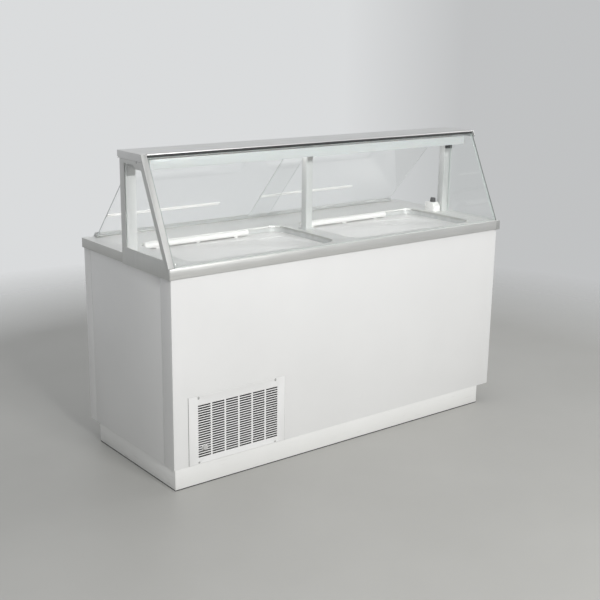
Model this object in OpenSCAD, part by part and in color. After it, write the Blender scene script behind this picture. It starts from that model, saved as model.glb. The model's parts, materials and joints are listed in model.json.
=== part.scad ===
/* [Cabinet] */
// Overall length along X, over the end plates
overall_w = 1730; // [1660:10:1900]
// Overall depth along Y, over the worktop
overall_d = 693; // [690:1:730]
// Height of the worktop surface above the floor
worktop_z = 861; // [840:1:900]
// Height of the stainless band around the worktop
band_h = 39; // [30:1:45]
// Height of the plinth
plinth_h = 83; // [75:1:110]
// How far the plinth sits in at the right end
plinth_right_inset = 69; // [20:1:90]
// How far the plinth sits in at the rear
plinth_rear_inset = 75; // [20:1:90]

/* [Canopy] */
// Height of the canopy top
canopy_z = 1249; // [1230:1:1280]
// Front edge of the canopy top, measured from the centre line
canopy_front_y = -160; // [-170:1:-150]
// Rear edge of the canopy top
canopy_rear_y = 16; // [10:1:25]
// Foot of the front glass on the worktop
glass_foot_y = -341; // [-341:1:-335]
// Foot of the rear panels on the worktop
rear_foot_y = 338; // [330:1:338]
// Width of a post across the front
post_w = 48; // [36:1:50]
// Depth of a post
post_d = 33; // [25:1:36]
// Shift of the centre post from the middle of the cabinet
centre_post_x = 8; // [0:1:10]

/* [Openings and lids] */
// Half width of the strip between the two openings
divider_half = 42; // [40:1:60]
// Outer edge of each opening, from the middle
opening_end = 740; // [700:5:745]
// Front edge of the openings
opening_front_y = -292; // [-292:1:-285]
// Rear edge of the openings
opening_rear_y = 122; // [100:1:130]
// Corner radius of the openings
opening_r = 60; // [30:5:80]
// Height of the closed lids' top
lid_top_z = 836; // [834:1:840]
// Length of a lid handle
handle_len = 495; // [300:5:540]
// Diameter of a lid handle
handle_d = 23; // [18:1:25]

/* [Grille] */
// Left edge of the grille panel
grille_x0 = -788; // [-800:1:-780]
// Right edge of the grille panel
grille_x1 = -340; // [-345:1:-335]
// Top edge of the grille panel
grille_z1 = 358; // [340:1:365]
// Columns of slots
slot_cols = 6; // [3:1:6]
// Rows of slots
slot_rows = 22; // [10:1:22]

/* [Hidden] */
$fn = 64;

half_w = overall_w / 2;
half_d = overall_d / 2;
sheet = 1.5;

// Outer shell
end_plate_t = 3;
top_sheet = 2;
worktop_half_w = half_w - end_plate_t;
shell_x = half_w - 10.5;
shell_front = -half_d + 10.5;
shell_rear = half_d - 2.5;
shell_top = worktop_z - top_sheet;
front_return = 73;
rear_return = 55;

// Plinth
kick_x0 = -shell_x + 3.5;
kick_x1 = shell_x - plinth_right_inset;
kick_y0 = shell_front;
kick_y1 = shell_rear - plinth_rear_inset;
kick_flange = 24;

// Bottom pan
pan_t = 2;
pan_z = plinth_h + pan_t;
pan_x = shell_x - 3.5;
pan_y0 = shell_front + 3.5;
pan_y1 = shell_rear - 3;
pan_rim = 25;

// Tank
tank_x = half_w - 70;
tank_y0 = -290;
tank_y1 = 270;
tank_step_x = -240;
tank_deep_z = 150;
tank_shallow_z = 430;
tank_top_z = 800;
liner_t = 1.5;
throat_x = half_w - 53;
throat_y = [-305, 285];

// Cooling coil on the tank's walls
coil_gap = 11;
coil_r = 4;
coil_bend = 8;
coil_off = liner_t + 5.75;
coil_upper_z = [for (i = [0:4]) 460 + i * 75];
coil_lower_z = [for (i = [0:3]) 180 + i * 72];
riser_x = 600;

// Racks for the tubs
rack_z = 735;
rack_bar = 6;
rack_h = 12;
rack_leg = 12;

// Drain at the right end of the tank
drain_x = 700;
drain_y = 0;
drain_r = 12;
drain_hole_r = 16;
spigot_r = 10.5;
spigot_z = [40, 78];
drain_flange_r = 22;

// Machine compartment
bay_x1 = -312;
bay_z1 = 372;

// Throat frames and lids
ledge_z = 807;
ledge_w = 12;
throat_t = 4;
rim_h = 8;
seal_h = 3.7;
lid_gap = 3;
lid_bottom_z = ledge_z + seal_h + 0.3;
lid_skin = 3;
hinge_y = opening_front_y + 12;
hinge_z = lid_top_z + 6;
rod_r = 3;
rod_clear = 0.06;
lug_inset = 80;
lug_w = 12;
handle_y = opening_rear_y - 24;
handle_z = lid_top_z + 4 + handle_d / 2;
handle_inset = 26;
saddle_w = 16;
saddle_d = 10;
knuckle_inset = 130;
knuckle_w = 60;
knuckle_r = rod_r + 2.4;
bevel = 17;
recess_r = 18;

// Sloping glass
front_tilt = atan((canopy_front_y - glass_foot_y) / (canopy_z - worktop_z));
front_len = (canopy_z - worktop_z) / cos(front_tilt);
rear_top_z = canopy_z - 29;
rear_tilt = atan((rear_foot_y - canopy_rear_y) / (rear_top_z - worktop_z));
rear_len = (rear_top_z - worktop_z) / cos(rear_tilt);
glass_t = 6;
panel_t = 5;
flange_w = 25;
member_w = 27;
centre_post_w = 32;
end_inset = 22;
canopy_x1 = half_w - 7;
post_gap = 4;
window_z = [worktop_z + 26, canopy_z - 44];
skirt_z = worktop_z - band_h - 2;
skirt_return_t = 1.2;
end_top_z = canopy_z - 28.5;
glass_top = front_len - 14;
glass_x = [-half_w + flange_w + 1, half_w - end_inset];
end_glass_t = 4;
bead_w = 4;

// Rear sliding panels and their track
panel_end_x = half_w - 61;
panel_overlap = 52;
inner_y = [-panel_t - 4.5, -4.5];
outer_y = [-0.5, panel_t - 0.5];
track_y = [-12, 7];
groove_play = 0.5;
track_x = [-panel_end_x - 6, panel_end_x + 6];
groove_z = 10;
track_h = 18;
panel_z = [groove_z + 0.3, rear_len - 14];
pull_len = 532;
pull_z = [139, 153];
pull_t = 4;

// Lamp
lamp_x = half_w - 47;
lamp_y0 = -139;
lamp_y1 = -113;
lamp_z0 = canopy_z - 62;
lamp_z1 = canopy_z - 25;
bracket_t = 3;
bracket_plate_z = [lamp_z0 - 31, lamp_z0 + 13];
bracket_arm_z = [lamp_z0 + 3, lamp_z0 + 13];

// Lamp switch beside the right post
switch_x = [half_w - 101, half_w - 63];
switch_y = [-24, 38];
switch_top = worktop_z + 42;
switch_axis = [half_w - 82, 6];
switch_knob_r = 13;
switch_knob_h = 20;

// Grille
grille_z0 = plinth_h + 1;
slot_x0 = -746.5;
slot_x1 = -376.5;
slot_z0 = 110;
slot_z1 = 320;
slot_w = 55.3;
slot_h = 5.4;
knob_x = -719;
knob_z = 147;
knob_boss_r = 13;
grille_screw_x = [-744, -386.5];
grille_screw_z = [90, 351];
screw_r = 1.8;
screw_head_r = 4.2;
screw_clear = 0.3;

// Refrigeration unit
fan_x = -532;
fan_z = 218;
fan_r = 92;
condenser_x0 = -680;
condenser_x1 = -385;
condenser_y0 = -324;
condenser_y1 = -288;
comp_x = -590;
comp_y = 70;
comp_r = 78;
comp_z = [130, 240];
fin_pitch = 9;
condenser_z = [112, 325];
shroud_y = condenser_y1;
pipe_r = 4;
pipe_bend = 20;
discharge_x = condenser_x1 + 24;
drier_x = condenser_x0 - 40;
vent_x = [-600, -350];
vent_z = [120, 350];

// Service box at the rear
service_x0 = -810;
service_x1 = -640;
service_z0 = 250;
service_z1 = 350;
service_depth = 34;
gland_x = -690;
gland_z = 300;
gland_r = 4.5;

// ---- helpers ----

module box(x, y, z) {
    translate([x[0], y[0], z[0]]) cube([x[1] - x[0], y[1] - y[0], z[1] - z[0]]);
}

module extrude_x(x0, x1) {
    translate([x0, 0, 0]) rotate([90, 0, 90]) linear_extrude(x1 - x0) children();
}

module round_rect(x, y, r) {
    translate([x[0] + r, y[0]]) square([x[1] - x[0] - 2 * r, y[1] - y[0]]);
    translate([x[0], y[0] + r]) square([x[1] - x[0], y[1] - y[0] - 2 * r]);
    for (cx = [x[0] + r, x[1] - r], cy = [y[0] + r, y[1] - r]) translate([cx, cy]) circle(r);
}

module round_slab(x, y, z, r) {
    translate([0, 0, z[0]]) linear_extrude(z[1] - z[0]) round_rect(x, y, r);
}

module rod_x(x, y, z, r) {
    translate([x[0], y, z]) rotate([0, 90, 0]) cylinder(h = x[1] - x[0], r = r);
}

module rod_y(x, y, z, r) {
    translate([x, y[0], z]) rotate([-90, 0, 0]) cylinder(h = y[1] - y[0], r = r);
}

// Local Z runs up the front glass, local Y points into the cabinet
module front_slope() {
    translate([0, glass_foot_y, worktop_z]) rotate([-front_tilt, 0, 0]) children();
}

// Local Z runs up the rear panels, local Y points out of the cabinet
module rear_slope() {
    translate([0, rear_foot_y, worktop_z]) rotate([rear_tilt, 0, 0]) children();
}

function slope_y(z) = glass_foot_y + (z - worktop_z) * tan(front_tilt);

// Span of one opening: side is -1 for the left one and 1 for the right one
function opening_x(side) = side < 0 ? [-opening_end, -divider_half] : [divider_half, opening_end];
opening_y = [opening_front_y, opening_rear_y];
function inset(span, d) = [span[0] + d, span[1] - d];

// ---- plinth and base ----

module kick_front() color("whitesmoke") {
    box([kick_x0, kick_x1], [kick_y0, kick_y0 + sheet], [0, plinth_h]);
    box([kick_x0, kick_x1], [kick_y0, kick_y0 + kick_flange], [plinth_h - sheet, plinth_h]);
}

module kick_side(x0, flange_x0) {
    y = [kick_y0 + sheet, kick_y1 - sheet];
    box([x0, x0 + sheet], y, [0, plinth_h - sheet]);
    box([flange_x0, flange_x0 + kick_flange], [kick_y0 + kick_flange, kick_y1 - kick_flange],
        [plinth_h - sheet, plinth_h]);
}

module kick_sides() color("whitesmoke") {
    kick_side(kick_x0, kick_x0);
    kick_side(kick_x1 - sheet, kick_x1 - kick_flange);
}

module kick_rear() color("whitesmoke") {
    box([kick_x0, kick_x1], [kick_y1 - sheet, kick_y1], [0, plinth_h]);
    box([kick_x0, kick_x1], [kick_y1 - kick_flange, kick_y1], [plinth_h - sheet, plinth_h]);
}

module base_rails() color("dimgray")
    for (y = [kick_y0 + 60, kick_y1 - 100]) difference() {
        box([kick_x0 + 30, kick_x1 - 30], [y, y + 40], [0, plinth_h]);
        box([kick_x0 + 29, kick_x1 - 29], [y + 3, y + 41], [3, plinth_h - 3]);
    }

module bottom_pan() color("silver") difference() {
    box([-pan_x, pan_x], [pan_y0, pan_y1], [plinth_h, plinth_h + pan_rim]);
    box([-pan_x + pan_t, pan_x - pan_t], [pan_y0 + pan_t, pan_y1 - pan_t],
        [pan_z, plinth_h + pan_rim + 1]);
    translate([drain_x, drain_y, plinth_h - 1]) cylinder(h = 10, r = drain_hole_r);
    for (x = grille_screw_x)
        rod_y(x, [pan_y0 - 1, pan_y0 + pan_t + 1], grille_screw_z[0], screw_r + screw_clear);
}

// ---- outer shell ----

module front_panel() color("white") difference() {
    union() {
        box([-shell_x, shell_x], [shell_front, shell_front + sheet], [plinth_h, shell_top]);
        for (x = [-shell_x, shell_x - sheet])
            box([x, x + sheet], [shell_front, shell_front + front_return], [plinth_h, shell_top]);
        // ledge behind the grille panel
        box([grille_x0 - 17, grille_x1 + 14], [shell_front + sheet, shell_front + 2 * sheet],
            [plinth_h + pan_rim + 1, grille_z1 + 14]);
    }
    box([grille_x0 - 3, grille_x1 + 0.6], [shell_front - 1, shell_front + sheet],
        [plinth_h - 1, grille_z1 + 0.6]);
    box([grille_x0 + 14, grille_x1 - 14], [shell_front - 1, shell_front + 10],
        [plinth_h - 1, grille_z1 - 14]);
    for (x = grille_screw_x)
        rod_y(x, [shell_front - 1, shell_front + 10], grille_screw_z[1], screw_r + screw_clear);
}

module side_panel(x0) {
    box([x0, x0 + sheet], [shell_front + front_return + 1, shell_rear - rear_return - 1],
        [plinth_h, shell_top]);
}

module left_side_panel() color("white") side_panel(-shell_x);

module right_side_panel() color("white") side_panel(shell_x - sheet);

module rear_panel() color("white") difference() {
    union() {
        box([-shell_x, shell_x], [shell_rear - sheet, shell_rear], [plinth_h, shell_top]);
        for (x = [-shell_x, shell_x - sheet])
            box([x, x + sheet], [shell_rear - rear_return, shell_rear], [plinth_h, shell_top]);
    }
    box([service_x0, service_x1], [shell_rear - 5, shell_rear + 1], [service_z0, service_z1]);
    box([vent_x[0] + 12, vent_x[1] - 12], [shell_rear - 5, shell_rear + 1],
        [vent_z[0] + 12, vent_z[1] - 12]);
}

// Louvred cover over the rear vent
module rear_vent_cover() color("white") difference() {
    box(vent_x, [shell_rear, shell_rear + sheet], vent_z);
    for (i = [0:11])
        box(inset(vent_x, 30), [shell_rear - 1, shell_rear + 3], [vent_z[0] + 24 + i * 16,
            vent_z[0] + 30 + i * 16]);
}

// ---- insulated tank ----

// Sheet wall and ceiling of the machine compartment
module compartment_lining() color("silver") {
    box([bay_x1, bay_x1 + sheet], [pan_y0 + 2.5, pan_y1 - 2.5], [pan_z, bay_z1 + sheet]);
    box([-pan_x + 2.5, bay_x1 + 1], [pan_y0 + 2.5, pan_y1 - 2.5], [bay_z1, bay_z1 + sheet]);
}

module insulation_foam() color("khaki") difference() {
    box([-pan_x + 2.5, pan_x - 2.5], [pan_y0 + 2.5, pan_y1 - 2.5], [pan_z, shell_top - 0.5]);
    box([-pan_x, bay_x1 + sheet], [pan_y0 - 1, pan_y1 + 1], [pan_z - 1, bay_z1 + sheet]);
    // space for the tank and the coil on its walls
    box([tank_step_x - liner_t - coil_gap, tank_x + liner_t + coil_gap],
        [tank_y0 - liner_t - coil_gap, tank_y1 + liner_t + coil_gap],
        [tank_deep_z - liner_t, worktop_z]);
    box([-tank_x - liner_t - coil_gap, 0],
        [tank_y0 - liner_t - coil_gap, tank_y1 + liner_t + coil_gap],
        [tank_shallow_z - liner_t, worktop_z]);
    // seat of the throat frames
    box([-throat_x - 1, throat_x + 1], [throat_y[0] - 1, throat_y[1] + 1], [tank_top_z, worktop_z]);
    translate([drain_x, drain_y, 0]) cylinder(h = 200, r = drain_hole_r);
}

module tank_liner() color("whitesmoke") difference() {
    union() {
        box([tank_step_x - liner_t, tank_x + liner_t], [tank_y0 - liner_t, tank_y1 + liner_t],
            [tank_deep_z - liner_t, tank_top_z]);
        box([-tank_x - liner_t, 0], [tank_y0 - liner_t, tank_y1 + liner_t],
            [tank_shallow_z - liner_t, tank_top_z]);
    }
    box([tank_step_x, tank_x], [tank_y0, tank_y1], [tank_deep_z, tank_top_z + 1]);
    box([-tank_x, 0], [tank_y0, tank_y1], [tank_shallow_z, tank_top_z + 1]);
    translate([drain_x, drain_y, 0]) cylinder(h = 200, r = drain_r + 0.3);
}

// One turn of tube around the tank at height z
module coil_turn(x0, x1, y0, y1, z) {
    b = coil_bend;
    rod_x([x0 + b, x1 - b], y0, z, coil_r);
    rod_x([x0 + b, x1 - b], y1, z, coil_r);
    rod_y(x0, [y0 + b, y1 - b], z, coil_r);
    rod_y(x1, [y0 + b, y1 - b], z, coil_r);
    corners = [[x1 - b, y1 - b, 0], [x0 + b, y1 - b, 90], [x0 + b, y0 + b, 180], [x1 - b, y0 + b, 270]];
    for (c = corners) translate([c[0], c[1], z]) rotate([0, 0, c[2]])
        rotate_extrude(angle = 90) translate([b, 0]) circle(coil_r, $fn = 32);
}

module evaporator_coil() color("peru") {
    y0 = tank_y0 - coil_off;
    y1 = tank_y1 + coil_off;
    for (z = coil_upper_z) coil_turn(-tank_x - coil_off, tank_x + coil_off, y0, y1, z);
    for (z = coil_lower_z) coil_turn(tank_step_x - coil_off, tank_x + coil_off, y0, y1, z);
    // riser that joins the turns behind the tank
    translate([riser_x, y1, coil_lower_z[0]])
        cylinder(h = coil_upper_z[4] - coil_lower_z[0], r = coil_r - 0.6);
}

// White frame under the worktop that leads into the tank and carries one lid
module throat(side) {
    ox = opening_x(side);
    plate = side < 0 ? [-throat_x, -0.3] : [0.3, throat_x];
    difference() {
        union() {
            box(plate, throat_y, [tank_top_z, ledge_z]);
            round_slab(inset(ox, -throat_t), inset(opening_y, -throat_t),
                [ledge_z - 1, worktop_z - rim_h - 0.5], opening_r + throat_t);
        }
        round_slab(ox, opening_y, [ledge_z, worktop_z], opening_r);
        round_slab(inset(ox, ledge_w), inset(opening_y, ledge_w), [tank_top_z - 1, worktop_z],
            opening_r - ledge_w);
    }
    // lugs that hold the ends of the hinge rod
    for (x = [ox[0] + lug_inset, ox[1] - lug_inset]) difference() {
        box([x - lug_w / 2, x + lug_w / 2], [opening_front_y - 1, hinge_y + 6],
            [ledge_z - 1, hinge_z + 6]);
        rod_x([x - lug_w, x + lug_w], hinge_y, hinge_z, rod_r + rod_clear);
    }
}

module throat_left() color("white") throat(-1);

module throat_right() color("white") throat(1);

// Rubber rings on the ledges, broken at the hinge lugs
module lid_seals() color("dimgray") for (side = [-1, 1]) {
    ox = opening_x(side);
    difference() {
        round_slab(inset(ox, 1), inset(opening_y, 1), [ledge_z, ledge_z + seal_h], opening_r - 1);
        round_slab(inset(ox, 10), inset(opening_y, 10), [ledge_z - 1, worktop_z], opening_r - 10);
        box(inset(ox, lug_inset - 12), [opening_front_y, hinge_y + 8], [ledge_z - 1, worktop_z]);
    }
}

// Welded grid that keeps the round tubs upright, on four legs
module can_rack(side) {
    ox = inset(opening_x(side), 14);
    oy = [tank_y0 + 4, 120];
    for (i = [0:3]) {
        x = ox[0] + i * (ox[1] - ox[0] - rack_bar) / 3;
        box([x, x + rack_bar], oy, [rack_z, rack_z + rack_h]);
    }
    for (i = [0:2]) {
        y = oy[0] + i * (oy[1] - oy[0] - rack_bar) / 2;
        box(ox, [y, y + rack_bar], [rack_z, rack_z + rack_h]);
    }
    for (x = [ox[0], ox[1] - rack_leg], y = [oy[0], oy[1] - rack_leg])
        box([x, x + rack_leg], [y, y + rack_leg],
            [x < tank_step_x ? tank_shallow_z : tank_deep_z, rack_z + rack_h]);
}

module can_rack_left() color("silver") can_rack(-1);

module can_rack_right() color("silver") can_rack(1);

// ---- worktop ----

module worktop() color("lightgray") difference() {
    union() {
        difference() {
            box([-worktop_half_w, worktop_half_w], [-half_d, half_d], [worktop_z - band_h, worktop_z]);
            box(inset([-worktop_half_w, worktop_half_w], top_sheet), inset([-half_d, half_d], top_sheet),
                [worktop_z - band_h - 1, worktop_z - top_sheet]);
        }
        for (side = [-1, 1])
            round_slab(inset(opening_x(side), -top_sheet), inset(opening_y, -top_sheet),
                [worktop_z - rim_h, worktop_z - 0.5], opening_r + top_sheet);
    }
    // seat of the right end plate's return
    box([half_w - end_inset - 1, half_w], [-half_d - 1, -half_d + skirt_return_t],
        [worktop_z - band_h - 1, worktop_z + 1]);
    for (side = [-1, 1])
        round_slab(opening_x(side), opening_y, [worktop_z - band_h, worktop_z + 1], opening_r);
}

// ---- lids ----

// Double-skinned lid with a sealed air space
module lid(side) {
    ox = opening_x(side);
    lx = inset(ox, lid_gap);
    ly = inset(opening_y, lid_gap);
    // rounder than the opening, so that the corners stay clear as the lid swings
    r = opening_r;
    inner = bevel + lid_skin;
    difference() {
        round_slab(lx, ly, [lid_bottom_z, lid_top_z], r);
        round_slab(inset(lx, inner), inset(ly, inner), [lid_bottom_z + lid_skin, lid_top_z - lid_skin],
            r - inner);
        // bevel under the front edge, so that the lid can swing up
        translate([0, ly[0], lid_bottom_z]) rotate([45, 0, 0])
            cube([2 * overall_w, bevel, bevel], center = true);
        // shallow finger recess near the right-hand end
        round_slab([ox[1] - 190, ox[1] - 60], [-90, 20], [lid_top_z - 1.6, lid_top_z + 1],
            recess_r);
        for (x = [ox[0] + lug_inset, ox[1] - lug_inset])
            box([x - lug_w / 2 - 2, x + lug_w / 2 + 2], [opening_front_y, hinge_y + 9],
                [lid_bottom_z - 1, worktop_z]);
    }
}

module lid_left() color("white") lid(-1);

module lid_right() color("white") lid(1);

// Hinge knuckles on the lid, around the rod
module lid_knuckles(side) {
    ox = opening_x(side);
    for (x = [ox[0] + knuckle_inset, (ox[0] + ox[1]) / 2, ox[1] - knuckle_inset]) difference() {
        kx = [x - knuckle_w / 2, x + knuckle_w / 2];
        union() {
            rod_x(kx, hinge_y, hinge_z, knuckle_r);
            box(kx, [hinge_y - knuckle_r, hinge_y + knuckle_r], [lid_top_z, hinge_z]);
        }
        rod_x(inset(kx, -1), hinge_y, hinge_z, rod_r + rod_clear);
    }
}

module lid_knuckles_left() color("white") lid_knuckles(-1);

module lid_knuckles_right() color("white") lid_knuckles(1);

// White grip tube on three saddles
module lid_handle(side) {
    x0 = opening_x(side)[0] + handle_inset;
    rod_x([x0, x0 + handle_len], handle_y, handle_z, handle_d / 2);
    for (x = [x0 + 60, x0 + handle_len / 2, x0 + handle_len - 60])
        box([x - saddle_w / 2, x + saddle_w / 2], [handle_y - saddle_d / 2, handle_y + saddle_d / 2],
            [lid_top_z, handle_z]);
}

module lid_handle_left() color("white") lid_handle(-1);

module lid_handle_right() color("white") lid_handle(1);

module lid_hinge_rods() color("silver") for (side = [-1, 1]) {
    ox = opening_x(side);
    rod_x(inset(ox, lug_inset - lug_w / 2), hinge_y, hinge_z, rod_r);
}

// ---- canopy ----

module post(x) {
    difference() {
        box([x, x + post_w], [-post_d, 0], [worktop_z, canopy_z - top_sheet]);
        box([x + 2, x + post_w - 2], [-post_d + 2, -2], [worktop_z - 1, canopy_z]);
    }
}

module left_post() color("white") post(-worktop_half_w);

module right_post() color("white") post(canopy_x1 - post_gap - post_w);

module centre_post() color("white") {
    x = [centre_post_x - centre_post_w / 2, centre_post_x + centre_post_w / 2];
    difference() {
        union() {
            box(x, [-post_d, 0], [worktop_z, canopy_z - top_sheet]);
            box([x[0] - 8, x[1] + 8], [-post_d - 10, 10], [worktop_z, worktop_z + 4]);
        }
        box(inset(x, 2), [-post_d + 2, -2], [worktop_z - 1, canopy_z]);
    }
}

// Plate on the front of a post with an arm to the back of the lamp
module lamp_bracket(plate_x, arm_x) {
    box(plate_x, [-post_d - bracket_t, -post_d], bracket_plate_z);
    box(arm_x, [lamp_y1, -post_d], bracket_arm_z);
}

module lamp_brackets() color([0.25, 0.26, 0.26]) {
    lamp_bracket([-worktop_half_w + 10, -lamp_x], [-worktop_half_w + 16, -lamp_x + 8]);
    lamp_bracket([centre_post_x - 14, centre_post_x + 14], [centre_post_x - 10, centre_post_x + 10]);
    lamp_bracket([lamp_x - 10, canopy_x1 - post_gap - 2], [lamp_x - 8, lamp_x + 12]);
}

// End plate with the slanted member, its gusset, its skirt and a front flange
module left_end_frame() color("silver") {
    extrude_x(-half_w, -worktop_half_w) difference() {
        polygon([[0, skirt_z], [0, end_top_z], [slope_y(end_top_z), end_top_z],
            [slope_y(worktop_z), worktop_z], [-half_d, worktop_z], [-half_d, skirt_z]]);
        difference() {
            polygon([[-post_d, window_z[0]], [-post_d, window_z[1]],
                [slope_y(window_z[1]) + member_w, window_z[1]],
                [slope_y(window_z[0]) + member_w, window_z[0]]]);
            // gusset in the upper front corner of the window
            polygon([[-175, window_z[1] + 1], [-100, window_z[1] + 1],
                [-118, window_z[1] - 14], [-185, window_z[1] - 14]]);
        }
    }
    front_slope() box([-half_w, -half_w + flange_w], [0, 3], [1.5, front_len]);
}

// Plate over the end of the worktop with a return on its front edge
module right_end_skirt() color("silver") {
    z = [skirt_z, worktop_z - 0.5];
    box([worktop_half_w, half_w], [-half_d, 0], z);
    box([half_w - end_inset + 1, half_w], [-half_d, -half_d + skirt_return_t], z);
}

// Clear pane behind the window of the left end frame
module left_end_glass() color([0.8, 0.9, 0.88, 0.4])
    extrude_x(-worktop_half_w, -worktop_half_w + end_glass_t)
        polygon([[-post_d, worktop_z], [-post_d, window_z[1] + 13],
            [slope_y(window_z[1] + 13) + 10, window_z[1] + 13], [slope_y(worktop_z) + 10, worktop_z]]);

// Clear pane between the right post and the front glass
module right_end_glass() color([0.8, 0.9, 0.88, 0.4]) {
    z1 = canopy_z - top_sheet - 1;
    y1 = -post_d - bracket_t - 1;
    extrude_x(glass_x[1] - end_glass_t - 0.5, glass_x[1] - 0.5)
        polygon([[y1, worktop_z], [y1, z1], [slope_y(z1) + 10, z1], [slope_y(worktop_z) + 10, worktop_z]]);
}

module canopy_top() color("lightgray") {
    y0 = canopy_front_y;
    y1 = canopy_rear_y;
    z = canopy_z;
    t = top_sheet;
    difference() {
        extrude_x(-worktop_half_w, canopy_x1 - end_plate_t)
            polygon([[y0, z], [y1, z], [y1, z - 28], [y1 - 14, z - 28], [y1 - 14, z - 26],
                [y1 - t, z - 26], [y1 - t, z - t], [y0 + 4, z - t], [y0 + 4, z - 3.8],
                [y0 - 1.8, z - 3.8]]);
        box([-half_w - 1, -half_w + flange_w + 0.5], [y0 - 10, y0 + 8], [z - 20, z + 1]);
    }
    extrude_x(-half_w, -worktop_half_w)
        polygon([[y0 + 3.5, z], [y1, z], [y1, z - 28], [slope_y(z - 28) + 3.5, z - 28]]);
    extrude_x(canopy_x1 - end_plate_t, canopy_x1)
        polygon([[y0, z], [y1, z], [y1, z - 28], [slope_y(z - 28), z - 28]]);
}

// Gasket along the top of the front glass and dark bead along its right-hand edge
module glass_seals() color([0.08, 0.08, 0.08]) front_slope() {
    box(glass_x, [-0.8, glass_t + 0.5], [glass_top, front_len - 4.4]);
    box([glass_x[1] + 0.2, glass_x[1] + bead_w], [0, 3], [1.5, front_len - 6]);
}

module front_glass() color([0.8, 0.9, 0.88, 0.4])
    front_slope() box(glass_x, [0, glass_t], [4, glass_top]);

// ---- lamp ----

module lamp_housing() color("white") difference() {
    box([-lamp_x, lamp_x], [lamp_y0, lamp_y1], [lamp_z0, lamp_z1]);
    box([-lamp_x + 3, lamp_x - 3], [lamp_y0 + 1.5, lamp_y1 - 1.5], [lamp_z0 - 1, lamp_z1 - 2]);
}

module lamp_diffuser() color([0.95, 0.96, 0.97])
    box([-lamp_x + 3.5, lamp_x - 3.5], [lamp_y0 + 2, lamp_y1 - 2], [lamp_z0 + 0.5, lamp_z0 + 4]);

// White switch housing beside the foot of the right post
module lamp_switch_box() color("white") difference() {
    extrude_x(switch_x[0], switch_x[1])
        polygon([[switch_y[0], worktop_z], [switch_y[1], worktop_z], [switch_y[1], switch_top],
            [-8, switch_top], [switch_y[0], switch_top - 20]]);
    translate([switch_axis[0], switch_axis[1], worktop_z + 6]) cylinder(h = 100, r = rod_r + rod_clear);
}

module lamp_switch_knob() color([0.12, 0.12, 0.12]) translate([switch_axis[0], switch_axis[1], 0]) {
    translate([0, 0, worktop_z + 8]) cylinder(h = 40, r = rod_r);
    translate([0, 0, switch_top + 0.5]) difference() {
        cylinder(h = switch_knob_h, r = switch_knob_r);
        // flats on both sides of the grip bar
        for (y = [3, -15]) translate([-15, y, 8]) cube([30, 12, 20]);
    }
}

// ---- rear sliding panels ----

module track_grooves(z) for (y = [inner_y, outer_y])
    box(inset(track_x, 5), inset(y, -groove_play), z);

module rear_track_bottom() color("silver") intersection() {
    rear_slope() difference() {
        box(track_x, track_y, [-10, track_h]);
        track_grooves([groove_z, track_h + 1]);
    }
    box([-half_w, half_w], [300, half_d], [worktop_z, worktop_z + 40]);
}

module rear_track_top() color("silver") intersection() {
    rear_slope() difference() {
        box(track_x, track_y, [rear_len - 26, rear_len + 20]);
        track_grooves([rear_len - 27, rear_len - 9]);
    }
    box([-half_w, half_w], [1, 60], [rear_top_z - 60, canopy_z - 28]);
}

module rear_glass_left() color([0.8, 0.9, 0.88, 0.4])
    rear_slope() box([-panel_end_x, panel_overlap], inner_y, panel_z);

module rear_glass_right() color([0.8, 0.9, 0.88, 0.4])
    rear_slope() box([-panel_overlap, panel_end_x], outer_y, panel_z);

module rear_pull_left() color("white")
    rear_slope() box([-panel_end_x, -panel_end_x + pull_len], [inner_y[0] - pull_t, inner_y[0]], pull_z);

module rear_pull_right() color("white")
    rear_slope() box([-panel_overlap, -panel_overlap + pull_len], [outer_y[1], outer_y[1] + pull_t], pull_z);

// ---- grille and fasteners ----

module grille_panel() color("white") {
    difference() {
        box([grille_x0, grille_x1], [shell_front, shell_front + sheet], [grille_z0, grille_z1]);
        difference() {
            for (i = [0:slot_cols - 1], j = [0:slot_rows - 1]) {
                x = slot_x0 + i * (slot_x1 - slot_x0 - slot_w) / (slot_cols - 1);
                z = slot_z0 + j * (slot_z1 - slot_z0 - slot_h) / (slot_rows - 1);
                box([x, x + slot_w], [shell_front - 1, shell_front + 3], [z, z + slot_h]);
            }
            rod_y(knob_x, [shell_front - 2, shell_front + 4], knob_z, knob_boss_r);
        }
        rod_y(knob_x, [shell_front - 2, shell_front + 4], knob_z, 4);
        for (x = grille_screw_x, z = grille_screw_z)
            rod_y(x, [shell_front - 1, shell_front + 4], z, screw_r + screw_clear);
    }
}

module screws() color("silver") {
    for (x = grille_screw_x, z = grille_screw_z) {
        rod_y(x, [shell_front - 1.6, shell_front], z, screw_head_r);
        rod_y(x, [shell_front - 1, shell_front + 8], z, screw_r);
    }
    // glass stop on the worktop
    translate([56 - half_w, -289, worktop_z]) cylinder(h = 6, r = 4);
}

// ---- machine compartment ----

module thermostat() color("gray") difference() {
    box([knob_x - 24, knob_x + 24], [shell_front + 8, shell_front + 40], [knob_z - 25, knob_z + 25]);
    rod_y(knob_x, [shell_front + 7, shell_front + 30], knob_z, rod_r + rod_clear);
}

module thermostat_knob() color("gainsboro") {
    rod_y(knob_x, [shell_front - 2, shell_front + 26], knob_z, rod_r);
    difference() {
        rod_y(knob_x, [shell_front - 8.5, shell_front - 0.5], knob_z, 11);
        box([knob_x - 1, knob_x + 1], [shell_front - 9, shell_front - 8], [knob_z + 2, knob_z + 12]);
    }
}

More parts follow.
